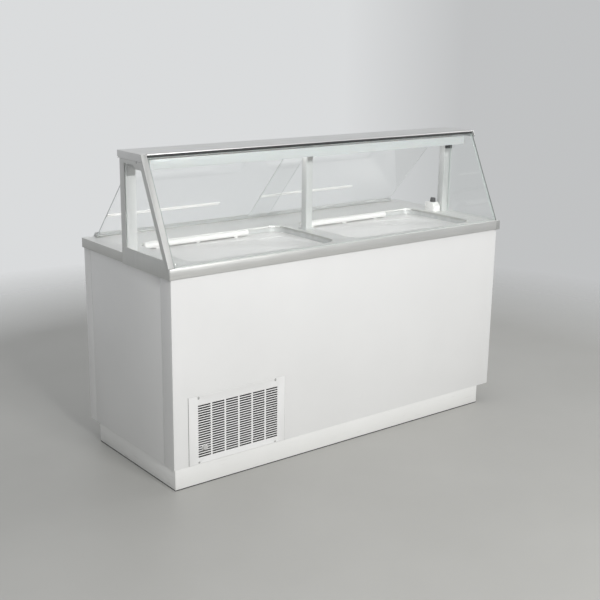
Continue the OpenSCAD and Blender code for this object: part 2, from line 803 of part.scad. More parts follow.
// Fin block with end plates and tube bends
module condenser() color("dimgray") {
    z = condenser_z;
    y = [condenser_y0, condenser_y1];
    for (x = [condenser_x0, condenser_x1 - 1.5]) box([x, x + 1.5], y, z);
    for (zz = [z[0], z[1] - 1.5]) box([condenser_x0, condenser_x1], y, [zz, zz + 1.5]);
    for (x = [condenser_x0 + fin_pitch:fin_pitch:condenser_x1 - 5])
        box([x, x + 0.8], inset(y, 1), [z[0] + 1, z[1] - 1]);
    for (i = [0:7], yy = [condenser_y0 + 10, condenser_y1 - 10])
        rod_x([condenser_x0 - 6, condenser_x1 + 6], yy, z[0] + 16 + i * 26, 4);
}

module fan_shroud() color("gray") difference() {
    union() {
        box([condenser_x0, condenser_x1], [shroud_y, shroud_y + 2], condenser_z);
        rod_y(fan_x, [shroud_y, shroud_y + 24], fan_z, fan_r + 8);
    }
    rod_y(fan_x, [shroud_y - 1, shroud_y + 25], fan_z, fan_r + 6);
}

module fan_motor() color("dimgray") {
    difference() {
        rod_y(fan_x, [shroud_y + 34, shroud_y + 84], fan_z, 32);
        rod_y(fan_x, [shroud_y + 33, shroud_y + 60], fan_z, rod_r + rod_clear);
    }
    // strap and spacers that hang the motor on the shroud
    difference() {
        box([condenser_x0 + 10, condenser_x1 - 10], [shroud_y + 60, shroud_y + 63], [fan_z - 9, fan_z + 9]);
        rod_y(fan_x, [shroud_y + 50, shroud_y + 70], fan_z, 30);
    }
    for (x = [condenser_x0 + 20, condenser_x1 - 20])
        rod_y(x, [shroud_y + 2, shroud_y + 61], fan_z, 5);
}

module fan_blade() color("silver") {
    rod_y(fan_x, [shroud_y + 8, shroud_y + 56], fan_z, rod_r);
    rod_y(fan_x, [shroud_y + 6, shroud_y + 30], fan_z, 20);
    for (i = [0:4]) translate([fan_x, shroud_y + 18, fan_z]) rotate([0, i * 72, 0])
        translate([52, 0, 0]) rotate([28, 0, 0]) cube([74, 2, 40], center = true);
}

module compressor() color([0.1, 0.1, 0.1]) {
    translate([comp_x, comp_y, 0]) {
        translate([0, 0, comp_z[0]]) cylinder(h = comp_z[1] - comp_z[0], r = comp_r);
        for (m = [0, 1]) translate([0, 0, comp_z[1 - m]]) mirror([0, 0, m]) intersection() {
            translate([0, 0, -70]) sphere(r = 105, $fn = 96);
            cylinder(h = 60, r = comp_r);
        }
    }
    // foot plate on rubber mounts
    box([comp_x - 110, comp_x + 110], [comp_y - 80, comp_y + 80], [97, 100]);
    for (x = [comp_x - 95, comp_x + 95], y = [comp_y - 65, comp_y + 65])
        translate([x, y, pan_z]) cylinder(h = 13, r = 12);
    // terminal cover
    box([comp_x + comp_r - 8, comp_x + comp_r + 30], [comp_y - 30, comp_y + 30], [150, 215]);
}

// Quarter bend of a line in the plane of local X and Y, from +X towards +Y
module bend() rotate_extrude(angle = 90) translate([pipe_bend, 0]) circle(pipe_r, $fn = 32);

// Copper lines with a filter drier
module refrigerant_pipes() color("peru") {
    // suction line from the compressor towards the tank
    translate([comp_x - 2 * pipe_bend, comp_y, comp_z[1] + 29]) cylinder(h = 71, r = pipe_r);
    translate([comp_x - pipe_bend, comp_y, 340]) rotate([90, 0, 0]) rotate([0, 0, 90]) bend();
    rod_x([comp_x - pipe_bend, bay_x1 - 12], comp_y, 340 + pipe_bend, pipe_r);
    // discharge line from the compressor to the condenser
    rod_x([comp_x + comp_r + 1, discharge_x - pipe_bend], comp_y + 50, 235, pipe_r);
    translate([discharge_x - pipe_bend, comp_y + 50 - pipe_bend, 235]) bend();
    rod_y(discharge_x, [condenser_y1 + 24, comp_y + 50 - pipe_bend], 235, pipe_r);
    // liquid line with its filter drier
    rod_y(drier_x, [-230, 10], 250, pipe_r);
    rod_y(drier_x, [-170, -60], 250, 13);
}

// Recessed box with the cable entry, which has a clear bore
module service_box() color("gainsboro") {
    y = [shell_rear - service_depth, shell_rear];
    difference() {
        union() {
            box([service_x0 + 0.3, service_x1 - 0.3], y, [service_z0 + 0.3, service_z1 - 0.3]);
            rod_y(gland_x, [y[0] - 10, y[0] + 5], gland_z, 9);
        }
        box([service_x0 + 2, service_x1 - 2], [y[0] + 2, y[1] + 1], [service_z0 + 2, service_z1 - 2]);
        rod_y(gland_x, [y[0] - 30, y[0] + 30], gland_z, gland_r);
    }
    difference() {
        rod_y(gland_x, [y[0] + 2, y[0] + 18], gland_z, 10);
        rod_y(gland_x, [y[0] - 1, y[0] + 20], gland_z, gland_r);
    }
}

// Outlet tube from the tank floor to the space under the cabinet
module drain_fitting() color("silver") translate([drain_x, drain_y, 0]) difference() {
    union() {
        translate([0, 0, spigot_z[1]]) cylinder(h = tank_deep_z - spigot_z[1], r = drain_r);
        translate([0, 0, spigot_z[0]]) cylinder(h = spigot_z[1] - spigot_z[0] + 1, r = spigot_r);
        translate([0, 0, tank_deep_z]) cylinder(h = 3, r = drain_flange_r);
    }
    translate([0, 0, 30]) cylinder(h = 200, r = spigot_r - 2);
}

kick_front();
kick_sides();
kick_rear();
base_rails();
bottom_pan();
front_panel();
left_side_panel();
right_side_panel();
rear_panel();
rear_vent_cover();
compartment_lining();
insulation_foam();
tank_liner();
evaporator_coil();
throat_left();
throat_right();
lid_seals();
can_rack_left();
can_rack_right();
worktop();
lid_left();
lid_right();
lid_handle_left();
lid_handle_right();
lid_knuckles_left();
lid_knuckles_right();
lid_hinge_rods();
left_post();
centre_post();
right_post();
lamp_brackets();
left_end_frame();
right_end_skirt();
left_end_glass();
right_end_glass();
canopy_top();
glass_seals();
front_glass();
lamp_housing();
lamp_diffuser();
lamp_switch_box();
lamp_switch_knob();
rear_track_top();
rear_track_bottom();
rear_glass_left();
rear_glass_right();
rear_pull_left();
rear_pull_right();
grille_panel();
screws();
thermostat();
thermostat_knob();
condenser();
fan_shroud();
fan_motor();
fan_blade();
compressor();
refrigerant_pipes();
service_box();
drain_fitting();
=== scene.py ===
import json
from math import cos, pi, radians, sin

import bmesh
import bpy
from mathutils import Matrix, Vector


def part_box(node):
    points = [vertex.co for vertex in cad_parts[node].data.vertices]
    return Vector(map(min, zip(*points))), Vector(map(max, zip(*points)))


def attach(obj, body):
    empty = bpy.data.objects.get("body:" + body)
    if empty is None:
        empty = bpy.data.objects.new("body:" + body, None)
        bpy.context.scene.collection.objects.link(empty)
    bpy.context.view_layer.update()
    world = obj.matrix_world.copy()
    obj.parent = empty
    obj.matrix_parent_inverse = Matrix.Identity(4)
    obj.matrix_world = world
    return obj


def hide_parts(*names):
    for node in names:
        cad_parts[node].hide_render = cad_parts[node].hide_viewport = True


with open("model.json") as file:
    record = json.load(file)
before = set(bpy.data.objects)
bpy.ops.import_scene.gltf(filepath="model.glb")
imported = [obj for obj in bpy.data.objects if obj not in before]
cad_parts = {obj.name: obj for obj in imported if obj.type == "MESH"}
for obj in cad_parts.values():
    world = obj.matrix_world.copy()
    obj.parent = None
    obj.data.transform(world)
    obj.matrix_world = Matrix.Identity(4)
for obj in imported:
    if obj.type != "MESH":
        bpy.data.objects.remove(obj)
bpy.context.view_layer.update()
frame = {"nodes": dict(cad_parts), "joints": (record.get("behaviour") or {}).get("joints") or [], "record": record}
MM = 0.001


# ---------------------------------------------------------------- node helpers

class Nodes:
    """A small wrapper around one material's node tree."""

    def __init__(self, name):
        self.material = bpy.data.materials.new(name)
        self.material.use_nodes = True
        self.tree = self.material.node_tree
        self.shader = self.tree.nodes["Principled BSDF"]
        self.out = self.tree.nodes["Material Output"]
        coords = self.tree.nodes.new("ShaderNodeTexCoord")
        self.position = coords.outputs["Object"]

    def link(self, a, b):
        self.tree.links.new(a, b)

    def set(self, **values):
        """Sets the shader's own sockets, such as Roughness or Coat_Weight."""
        for key, value in values.items():
            self.shader.inputs[key.replace("_", " ")].default_value = value

    def stretched(self, x, y, z):
        """The position, scaled on each axis."""
        mapping = self.tree.nodes.new("ShaderNodeMapping")
        mapping.inputs["Scale"].default_value = (x, y, z)
        self.link(self.position, mapping.inputs["Vector"])
        return mapping.outputs["Vector"]

    def noise(self, scale, detail=4.0, vector=None, roughness=0.55):
        """Cloudy noise, with most of its values between 0.3 and 0.7."""
        n = self.tree.nodes.new("ShaderNodeTexNoise")
        n.inputs["Scale"].default_value = scale
        n.inputs["Detail"].default_value = detail
        n.inputs["Roughness"].default_value = roughness
        self.link(vector or self.position, n.inputs["Vector"])
        return n.outputs["Fac"]

    def range(self, value, low, high, from_low=0.3, from_high=0.7):
        """Maps a value from one range to another, and holds it at the ends."""
        m = self.tree.nodes.new("ShaderNodeMapRange")
        limits = {"From Min": from_low, "From Max": from_high, "To Min": low, "To Max": high}
        for key, limit in limits.items():
            m.inputs[key].default_value = limit
        self.link(value, m.inputs["Value"])
        return m.outputs["Result"]

    def mix(self, fac, a, b):
        """Mixes two colours, each of them a socket or a plain colour."""
        m = self.tree.nodes.new("ShaderNodeMix")
        m.data_type = "RGBA"
        self.link(fac, m.inputs["Factor"])
        colour_a, colour_b, result = m.inputs[6], m.inputs[7], m.outputs[2]
        for value, target in ((a, colour_a), (b, colour_b)):
            if isinstance(value, bpy.types.NodeSocket):
                self.link(value, target)
            else:
                target.default_value = (*value, 1)
        return result

    def math(self, op, a, b):
        m = self.tree.nodes.new("ShaderNodeMath")
        m.operation = op
        for socket, value in zip(m.inputs, (a, b)):
            if isinstance(value, bpy.types.NodeSocket):
                self.link(value, socket)
            else:
                socket.default_value = value
        return m.outputs["Value"]

    def height(self):
        """The Z coordinate, in metres."""
        s = self.tree.nodes.new("ShaderNodeSeparateXYZ")
        self.link(self.position, s.inputs["Vector"])
        return s.outputs["Z"]

    def bump(self, value, strength, distance):
        """Adds a bump to the ones that the shader has."""
        b = self.tree.nodes.new("ShaderNodeBump")
        b.inputs["Strength"].default_value = strength
        b.inputs["Distance"].default_value = distance
        self.link(value, b.inputs["Height"])
        previous = self.shader.inputs["Normal"].links
        if previous:
            self.link(previous[0].from_socket, b.inputs["Normal"])
        self.link(b.outputs["Normal"], self.shader.inputs["Normal"])

    def colour(self, socket):
        self.link(socket, self.shader.inputs["Base Color"])

    def roughness(self, socket):
        self.link(socket, self.shader.inputs["Roughness"])


def painted(name, colour, rough=0.34, peel=0.12, scuffs=False):
    """Powder coat: fine orange peel, faint tone drift, and rub marks low down where feet reach."""
    n = Nodes(name)
    drift = n.noise(2.3, 3)
    low = tuple(c * 0.965 for c in colour)
    tone = n.mix(n.range(drift, 0, 1), low, colour)
    rough_map = n.range(n.noise(38, 5), rough - 0.05, rough + 0.07)
    if scuffs:
        streak = n.noise(1, 6, n.stretched(9, 9, 120))
        low_down = n.range(n.height(), 1, 0, 0.0, 0.16)
        marks = n.math("MULTIPLY", n.range(streak, 0, 1, 0.62, 0.74), low_down)
        tone = n.mix(n.math("MULTIPLY", marks, 0.35), tone, (0.33, 0.32, 0.30))
        rough_map = n.math("ADD", rough_map, n.math("MULTIPLY", marks, 0.25))
    n.colour(tone)
    n.roughness(rough_map)
    n.bump(n.noise(420, 2), peel, 0.0004)
    n.bump(n.noise(3.1, 2), 0.05, 0.004)
    n.set(Coat_Weight=0.12, Coat_Roughness=0.18)
    return n.material


def moulded(name, colour, rough=0.3, grain=0.08, spread=0.04):
    """Moulded plastic: a fine grain, soft flow marks and slightly uneven gloss."""
    n = Nodes(name)
    flow = n.noise(1, 4, n.stretched(3, 14, 9))
    n.colour(n.mix(n.range(flow, 0, 1), tuple(c * (1 - spread) for c in colour), colour))
    n.roughness(n.range(n.noise(26, 5), rough - 0.05, rough + 0.08))
    n.bump(n.noise(900, 2), grain, 0.0002)
    n.bump(n.noise(11, 3), 0.03, 0.002)
    return n.material


def brushed(name, colour, along, rough=0.3, strength=0.10, wear=0.5):
    """Satin-brushed sheet: hair lines along one axis, cloudy wipe marks and small scratches."""
    n = Nodes(name)
    scale = {"X": (6, 900, 900), "Y": (900, 6, 900), "Z": (900, 900, 6)}[along]
    lines = n.noise(1, 5, n.stretched(*scale), 0.65)
    cloud = n.noise(7, 5)
    dark = tuple(c * 0.86 for c in colour)
    tone = n.mix(n.range(lines, 0, 1), dark, colour)
    tone = n.mix(n.math("MULTIPLY", n.range(cloud, 0, 1, 0.45, 0.75), 0.22 * wear), tone,
                 tuple(c * 0.78 for c in colour))
    n.colour(tone)
    worn = n.math("MULTIPLY", n.range(cloud, 0, 0.12, 0.4, 0.7), wear)
    n.roughness(n.math("ADD", n.range(lines, rough - 0.05, rough + 0.09), worn))
    n.bump(lines, strength, 0.0003)
    scratch = n.noise(1, 2, n.stretched(55, 420, 60))
    n.bump(n.range(scratch, 0, 1, 0.70, 0.76), 0.05, 0.0003)
    n.set(Metallic=0.85, Anisotropic=0.3)
    return n.material


def plain_metal(name, colour, rough=0.28, scale=60):
    """Turned, plated or galvanised metal with a mottled sheen."""
    n = Nodes(name)
    spots = n.noise(scale, 5)
    n.colour(n.mix(n.range(spots, 0, 1), tuple(c * 0.84 for c in colour), colour))
    n.roughness(n.range(n.noise(scale * 0.4, 4), rough - 0.08, rough + 0.14))
    n.bump(n.noise(scale * 8, 3), 0.08, 0.0002)
    n.set(Metallic=1.0)
    return n.material


def rubber(name, colour):
    """Matt rubber with a pale bloom in places."""
    n = Nodes(name)
    bloom = n.noise(34, 6)
    n.colour(n.mix(n.range(bloom, 0, 1, 0.45, 0.8), colour, tuple(c + 0.03 for c in colour)))
    n.roughness(n.range(n.noise(60, 4), 0.55, 0.78))
    n.bump(n.noise(700, 3), 0.15, 0.0002)
    return n.material


def foam(name):
    """Yellowed rigid foam with small cells."""
    n = Nodes(name)
    cells = n.tree.nodes.new("ShaderNodeTexVoronoi")
    cells.inputs["Scale"].default_value = 420
    n.link(n.position, cells.inputs["Vector"])
    n.colour(n.mix(n.range(n.noise(9, 5), 0, 1), (0.62, 0.50, 0.26), (0.78, 0.68, 0.42)))
    n.roughness(n.range(n.noise(50, 3), 0.75, 0.95))
    n.bump(cells.outputs["Distance"], 0.5, 0.001)
    return n.material


def dusty_shaded_fins(name):
    """Dark metal fins, duller where dust has gathered on them; their near-black colour is a dark finish and also
    painted shade behind the grille.
    """
    n = Nodes(name)
    dust = n.range(n.noise(22, 6), 0, 1, 0.4, 0.7)
    n.colour(n.mix(n.math("MULTIPLY", dust, 0.6), (0.10, 0.10, 0.105), (0.06, 0.06, 0.058)))
    n.roughness(n.range(dust, 0.38, 0.8, 0, 1))
    n.bump(n.noise(300, 3), 0.2, 0.0003)
    n.set(Metallic=0.85)
    return n.material


def see_through(name, tint, ior=1.45, smear=0.02):
    """Clear pane: it bends light, and lets lamps through to what is behind it."""
    n = Nodes(name)
    n.colour(n.mix(n.range(n.noise(2.2, 2), 0, 1), tint, tuple(min(1.0, c * 1.01) for c in tint)))
    n.roughness(n.range(n.noise(5, 5), 0, smear, 0.5, 0.8))
    n.bump(n.noise(1.7, 2), 0.02, 0.002)
    n.set(Transmission_Weight=1.0, IOR=ior)
    path = n.tree.nodes.new("ShaderNodeLightPath")
    clear = n.tree.nodes.new("ShaderNodeBsdfTransparent")
    clear.inputs["Color"].default_value = (*tint, 1)
    surface = n.shader.outputs["BSDF"]
    # light that has bounced off what is behind goes straight through too, so no lamp counts twice
    for ray in ("Is Diffuse Ray", "Is Shadow Ray"):
        both = n.tree.nodes.new("ShaderNodeMixShader")
        n.link(path.outputs[ray], both.inputs["Fac"])
        n.link(surface, both.inputs[1])
        n.link(clear.outputs["BSDF"], both.inputs[2])
        surface = both.outputs["Shader"]
    n.link(surface, n.out.inputs["Surface"])
    return n.material


def glass_edge(name, colour):
    """Ground edge of a pane: satin, in a tint of its own."""
    n = Nodes(name)
    n.colour(n.mix(n.range(n.noise(40, 4), 0, 1), tuple(c * 0.8 for c in colour), colour))
    n.roughness(n.range(n.noise(220, 4), 0.25, 0.5))
    n.bump(n.noise(500, 3), 0.15, 0.0002)
    n.set(Specular_IOR_Level=0.6, Coat_Weight=0.3, Coat_Roughness=0.15)
    return n.material


def glowing(name, colour, strength):
    """Translucent plastic that glows: the lamp's own light on its diffuser, and painted light on its housing."""
    n = Nodes(name)
    n.colour(n.mix(n.range(n.noise(14, 3), 0, 1), tuple(c * 0.97 for c in colour), colour))
    n.roughness(n.range(n.noise(60, 3), 0.3, 0.42))
    n.bump(n.noise(300, 2), 0.05, 0.0002)
    n.set(Emission_Color=(0.93, 0.98, 1.0, 1), Emission_Strength=strength, Subsurface_Weight=0.1)
    return n.material


WHITE = painted("white_powder_coat", (0.86, 0.86, 0.855))
WHITE_LOW = painted("white_powder_coat_plinth", (0.86, 0.86, 0.845), rough=0.38, scuffs=True)
# a darker copy of the white powder coat for the centre and right posts: painted shade
POST_WHITE_SHADED = painted("post_powder_coat_painted_shade", (0.62, 0.63, 0.625), rough=0.4, peel=0.08)
# near-black paint for the grille's slot walls: painted shade that deepens the slots
SLOT_WALL_SHADE = painted("slot_wall_painted_shade", (0.13, 0.13, 0.125), rough=0.6)
# grey for the strip behind the grille's left seam: painted shadow
SEAM_SHADOW_GREY = painted("grey_painted_seam_shadow", (0.30, 0.30, 0.295), rough=0.6)
BLACK_PAINT = painted("black_paint", (0.025, 0.026, 0.028), rough=0.45)
BLACK_GLOSS = painted("black_enamel", (0.012, 0.012, 0.013), rough=0.2, peel=0.2)
STEEL_TOP = brushed("worktop_steel", (0.90, 0.90, 0.885), "X", rough=0.38)
STEEL_BAND = brushed("worktop_band_steel", (0.93, 0.93, 0.91), "X", rough=0.42)
# a darker copy of the worktop's steel for its end faces: painted shade
STEEL_ENDS_SHADED = brushed("worktop_end_steel_painted_shade", (0.64, 0.64, 0.62), "Y", rough=0.40)
STEEL_CANOPY = brushed("canopy_steel", (0.79, 0.79, 0.785), "X", rough=0.40)
FRAME_METAL = brushed("satin_aluminium_z", (0.72, 0.725, 0.71), "Z", rough=0.44, strength=0.06)
TRACK_METAL = brushed("satin_aluminium_x", (0.72, 0.725, 0.72), "X", rough=0.5, strength=0.05)
ZINC = plain_metal("galvanised_sheet", (0.52, 0.53, 0.54), 0.42, 24)
PLATED = plain_metal("plated_steel", (0.66, 0.67, 0.68), 0.2, 160)
SCREW_STEEL = plain_metal("screw_steel", (0.58, 0.58, 0.57), 0.5, 160)
COPPER = plain_metal("copper_tube", (0.72, 0.38, 0.24), 0.3, 90)
FINS = dusty_shaded_fins("condenser_fins")
LINER = moulded("enamelled_liner", (0.83, 0.85, 0.84), 0.22, 0.03)
THROAT = moulded("breaker_plastic", (0.64, 0.65, 0.645), 0.26)
LID = moulded("lid_plastic", (0.84, 0.832, 0.827), 0.34, 0.02, 0.02)
GRIP = moulded("grip_plastic", (0.96, 0.95, 0.94), 0.22, 0.02, 0.01)
DARK_PLASTIC = moulded("dark_plastic", (0.035, 0.036, 0.037), 0.42, 0.2, 0.2)
KNOB_PLASTIC = moulded("knob_plastic", (0.09, 0.09, 0.092), 0.3, 0.1, 0.2)
GREY_PLASTIC = moulded("grey_plastic", (0.55, 0.55, 0.54), 0.36, 0.15)
RUBBER = rubber("black_rubber", (0.028, 0.029, 0.03))
GREY_RUBBER = rubber("grey_rubber", (0.17, 0.175, 0.17))
FOAM = foam("polyurethane_foam")
GLASS = see_through("float_glass", (0.982, 0.992, 0.988))
GLASS_EDGE = glass_edge("glass_ground_edge", (0.62, 0.70, 0.67))
ACRYLIC = see_through("clear_acrylic", (0.985, 0.99, 0.99), ior=1.42, smear=0.03)
ACRYLIC_EDGE = glass_edge("acrylic_edge", (0.76, 0.80, 0.80))
ACRYLIC_PALE = glass_edge("acrylic_polished_edge", (0.95, 0.97, 0.97))
# the housing's faint glow is painted light that lifts its shaded top under the canopy
LAMP_HOUSING_PAINTED_GLOW = glowing("lamp_housing_painted_glow", (0.74, 0.75, 0.745), 0.06)
LAMP_GLOW = glowing("lamp_diffuser_plastic", (0.74, 0.75, 0.745), 0.35)
SEALANT = moulded("clear_sealant", (0.70, 0.72, 0.70), 0.2, 0.1)
FAN_METAL = plain_metal("fan_aluminium", (0.60, 0.61, 0.62), 0.35, 70)


# ---------------------------------------------------------------- mesh helpers

BODY_OF = {n: body for body, nodes in frame["record"]["behaviour"]["bodies"].items() for n in nodes}
X, Y, Z = Vector((1, 0, 0)), Vector((0, 1, 0)), Vector((0, 0, 1))


def place(name, mesh, material, node, replaces=True):
    """Puts a mesh in the scene as a piece that rides with the node's body and takes its slot."""
    obj = bpy.data.objects.new(name, mesh)
    bpy.context.scene.collection.objects.link(obj)
    for m in material if isinstance(material, list) else [material]:
        obj.data.materials.append(m)
    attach(obj, BODY_OF[node])
    if replaces:
        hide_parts(node)
    return obj


def mesh_from(bm, name):
    """Makes a mesh that is shaded smooth, with a crease where it turns by more than 35 degrees."""
    crease = radians(35)
    mesh = bpy.data.meshes.new(name)
    bmesh.ops.recalc_face_normals(bm, faces=bm.faces)
    for e in bm.edges:
        e.smooth = not (len(e.link_faces) == 2 and e.calc_face_angle(0) > crease)
    for f in bm.faces:
        f.smooth = True
    bm.to_mesh(mesh)
    bm.free()
    return mesh


def soften(bm, width, segments=2, angle=30):
    """Rounds every edge that turns by more than the angle."""
    edges = [e for e in bm.edges if len(e.link_faces) == 2 and e.calc_face_angle(0) > radians(angle)]
    bmesh.ops.bevel(bm, geom=edges, offset=width, segments=segments, profile=0.5, affect="EDGES",
                    clamp_overlap=True)


def cad_form(node):
    """The CAD node's own form, with its flat faces whole again."""
    bm = bmesh.new()
    bm.from_mesh(frame["nodes"][node].data)
    bmesh.ops.remove_doubles(bm, verts=bm.verts, dist=2e-6)
    bmesh.ops.dissolve_limit(bm, angle_limit=radians(0.5), verts=bm.verts, edges=bm.edges)
    return bm


def refined(node, material, width, segments=2):
    """The CAD node's form with its sharp edges rounded, as a pressed or moulded part has them."""
    bm = cad_form(node)
    soften(bm, width, segments)
    # rounding a sharp corner can push a point out of the part's own box
    lo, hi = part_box(node)
    for v in bm.verts:
        v.co = [min(max(v.co[i], lo[i]), hi[i]) for i in range(3)]
    return place(node + "_form", mesh_from(bm, node), material, node)


def part_of(bm, keep):
    """Drops the loose parts of a mesh whose middle doesn't pass the test."""
    left = set(bm.verts)
    while left:
        stack = [left.pop()]
        island = set(stack)
        while stack:
            for e in stack.pop().link_edges:
                for v in e.verts:
                    if v not in island:
                        island.add(v)
                        stack.append(v)
        left -= island
        middle = sum((v.co for v in island), Vector()) / len(island)
        if not keep(middle):
            bmesh.ops.delete(bm, geom=list(island), context="VERTS")
    return bm


def box_into(bm, lo, hi, width=0.0):
    """Adds a box between two corners, with its edges rounded by the width."""
    size = [hi[i] - lo[i] for i in range(3)]
    centre = [(lo[i] + hi[i]) / 2 for i in range(3)]
    part = bmesh.new()
    bmesh.ops.create_cube(part, size=1, matrix=Matrix.Translation(centre) @ Matrix.Diagonal((*size, 1)))
    if width:
        soften(part, width, 3)
    merge(bm, part)


def merge(bm, part):
    """Moves the part into the mesh and frees it."""
    mesh = bpy.data.meshes.new("part")
    part.to_mesh(mesh)
    part.free()
    bm.from_mesh(mesh)
    bpy.data.meshes.remove(mesh)


def lathe_into(bm, profile, start, axis, steps):
    """Turns a profile of (distance along the axis, radius) points about an axis."""
    axis = Vector(axis).normalized()
    turn = Z.rotation_difference(axis).to_matrix()
    rings = []
    for along, r in profile:
        if r < 1e-7:
            rings.append([bm.verts.new(Vector(start) + axis * along)])
            continue
        spokes = [2 * pi * i / steps for i in range(steps)]
        rings.append([bm.verts.new(Vector(start) + turn @ Vector((r * cos(a), r * sin(a), along)))
                      for a in spokes])
    for a, b in zip(rings, rings[1:]):
        for i in range(steps):
            j = (i + 1) % steps
            # a ring on the axis is a single point, so a corner can come twice
            corners = dict.fromkeys([a[i % len(a)], a[j % len(a)], b[j % len(b)], b[i % len(b)]])
            if len(corners) >= 3:
                bm.faces.new(list(corners))
    for ring in (rings[0], rings[-1]):
        if len(ring) > 1:
            bm.faces.new(ring)


def lathe_shell(bm, loop, start, axis, steps):
    """Turns a closed loop of (distance, radius) points into a ring-shaped solid."""
    axis = Vector(axis).normalized()
    turn = Z.rotation_difference(axis).to_matrix()
    rings = []
    for along, r in loop[:-1]:
        spokes = [2 * pi * (i + 0.5) / steps for i in range(steps)]
        rings.append([bm.verts.new(Vector(start) + turn @ Vector((r * cos(a), r * sin(a), along)))
                      for a in spokes])
    for k in range(len(rings)):
        a, b = rings[k], rings[(k + 1) % len(rings)]
        for i in range(steps):
            j = (i + 1) % steps
            bm.faces.new((a[i], a[j], b[j], b[i]))


def rounded_rod(length, r, edge):
    """Profile of a rod with rounded ends, for lathe_into."""
    steps = 4
    bend = [pi / 2 * i / steps for i in range(steps + 1)]
    near = [(edge - edge * cos(a), r - edge + edge * sin(a)) for a in bend]
    far = [(length - along, radius) for along, radius in reversed(near)]
    return [(0, 0)] + near + far + [(length, 0)]


def extrusion_into(bm, outline, origin, a, b, along, width=0.0):
    """Extrudes an outline, given in the plane of a and b, by the vector along."""
    part = bmesh.new()
    near = [part.verts.new(origin + a * p + b * q) for p, q in outline]
    far = [part.verts.new(v.co + along) for v in near]
    part.faces.new(near)
    part.faces.new(far[::-1])
    for i in range(len(near)):
        j = (i + 1) % len(near)
        part.faces.new((near[i], far[i], far[j], near[j]))
    bmesh.ops.recalc_face_normals(part, faces=part.faces)
    if width:
        soften(part, width, 2, 20)
    merge(bm, part)


def tube_into(bm, path, r):
    """Adds a round tube along a path of points, with closed ends."""
    steps = 16
    rings = []
    side = None
    for i, p in enumerate(path):
        ahead = (path[min(i + 1, len(path) - 1)] - path[max(i - 1, 0)]).normalized()
        if side is None:
            side = ahead.orthogonal().normalized()
        side = (side - ahead * side.dot(ahead)).normalized()
        other = ahead.cross(side)
        spokes = [2 * pi * k / steps for k in range(steps)]
        rings.append([bm.verts.new(p + side * r * cos(a) + other * r * sin(a)) for a in spokes])
    for a, b in zip(rings, rings[1:]):
        for i in range(steps):
            j = (i + 1) % steps
            bm.faces.new((a[i], a[j], b[j], b[i]))
    bm.faces.new(rings[0][::-1])
    bm.faces.new(rings[-1])


def cornered(points, r):
    """A path through the points, with each square corner turned at radius r."""
    steps = 6
    path = [points[0]]
    for before, corner, after in zip(points, points[1:], points[2:]):
        u, v = (before - corner).normalized(), (after - corner).normalized()
        start, end = corner + u * r, corner + v * r
        centre = corner + (u + v) * r
        turn = [pi / 2 * i / steps for i in range(1, steps)]
        path += [start] + [centre - v * r * cos(t) - u * r * sin(t) for t in turn] + [end]
    return path + [points[-1]]


def wide_normal(node):
    """The normal of a node's widest flat face."""
    areas = {}
    for p in frame["nodes"][node].data.polygons:
        key = tuple(round(c, 2) for c in p.normal)
        areas[key] = areas.get(key, 0) + p.area
    return Vector(max(areas, key=areas.get)).normalized()


def rear_up():
    """The way up along the rear panels."""
    normal = wide_normal("rear_glass_left")
    return (Z - normal * normal.z).normalized()


# ---------------------------------------------------------------- CAD nodes that keep their form

KEPT = {
    "base_rails": BLACK_PAINT, "bottom_pan": ZINC, "compartment_lining": ZINC, "insulation_foam": FOAM,
    "tank_liner": LINER, "evaporator_coil": COPPER,
}
for node, material in KEPT.items():
    slots = frame["nodes"][node].data.materials
    slots.clear()
    slots.append(material)

# ---------------------------------------------------------------- sheet metal, plastics and seals

# each with the width of its rounded edges, in millimetres
REFINED = [
    ("kick_front", WHITE_LOW, 0.5), ("kick_sides", WHITE_LOW, 0.5), ("kick_rear", WHITE_LOW, 0.5),
    ("front_panel", WHITE, 0.6), ("left_side_panel", WHITE, 0.6), ("right_side_panel", WHITE, 0.6),
    ("rear_panel", WHITE, 0.6), ("throat_left", THROAT, 1.2), ("throat_right", THROAT, 1.2),
    ("lid_seals", RUBBER, 1.0), ("can_rack_left", PLATED, 1.0), ("can_rack_right", PLATED, 1.0),
    ("left_post", WHITE, 0.8), ("centre_post", POST_WHITE_SHADED, 0.8),
    ("right_post", POST_WHITE_SHADED, 0.8), ("left_end_frame", FRAME_METAL, 0.7),
    ("right_end_skirt", FRAME_METAL, 0.7), ("canopy_top", STEEL_CANOPY, 0.7),
    ("lamp_housing", LAMP_HOUSING_PAINTED_GLOW, 0.9), ("lamp_diffuser", LAMP_GLOW, 1.2), ("lamp_switch_box", GRIP, 2.5),
    ("rear_track_top", TRACK_METAL, 0.6), ("rear_track_bottom", TRACK_METAL, 0.6),
    # the fan shroud's black paint is also painted shade behind the grille
    ("thermostat", DARK_PLASTIC, 1.5), ("fan_shroud", BLACK_PAINT, 0.5),
    ("lid_knuckles_left", LID, 1.0), ("lid_knuckles_right", LID, 1.0), ("lid_left", LID, 1.8),
    ("lid_right", LID, 1.8), ("service_box", GREY_PLASTIC, 0.6), ("fan_motor", BLACK_PAINT, 1.0),
]
for node, material, width in REFINED:
    refined(node, material, width * MM)


def worktop():
    """The folded top, brushed along each of its bands, with its end faces in a darker copy of the steel as painted
    shade.
    """
    obj = refined("worktop", [STEEL_TOP, STEEL_BAND, STEEL_ENDS_SHADED], 0.9 * MM)
    top, band, end = range(3)
    for p in obj.data.polygons:
        across = abs(p.normal.y) > 0.5
        lengthways = abs(p.normal.x) > 0.5
        p.material_index = band if across else end if lengthways else top


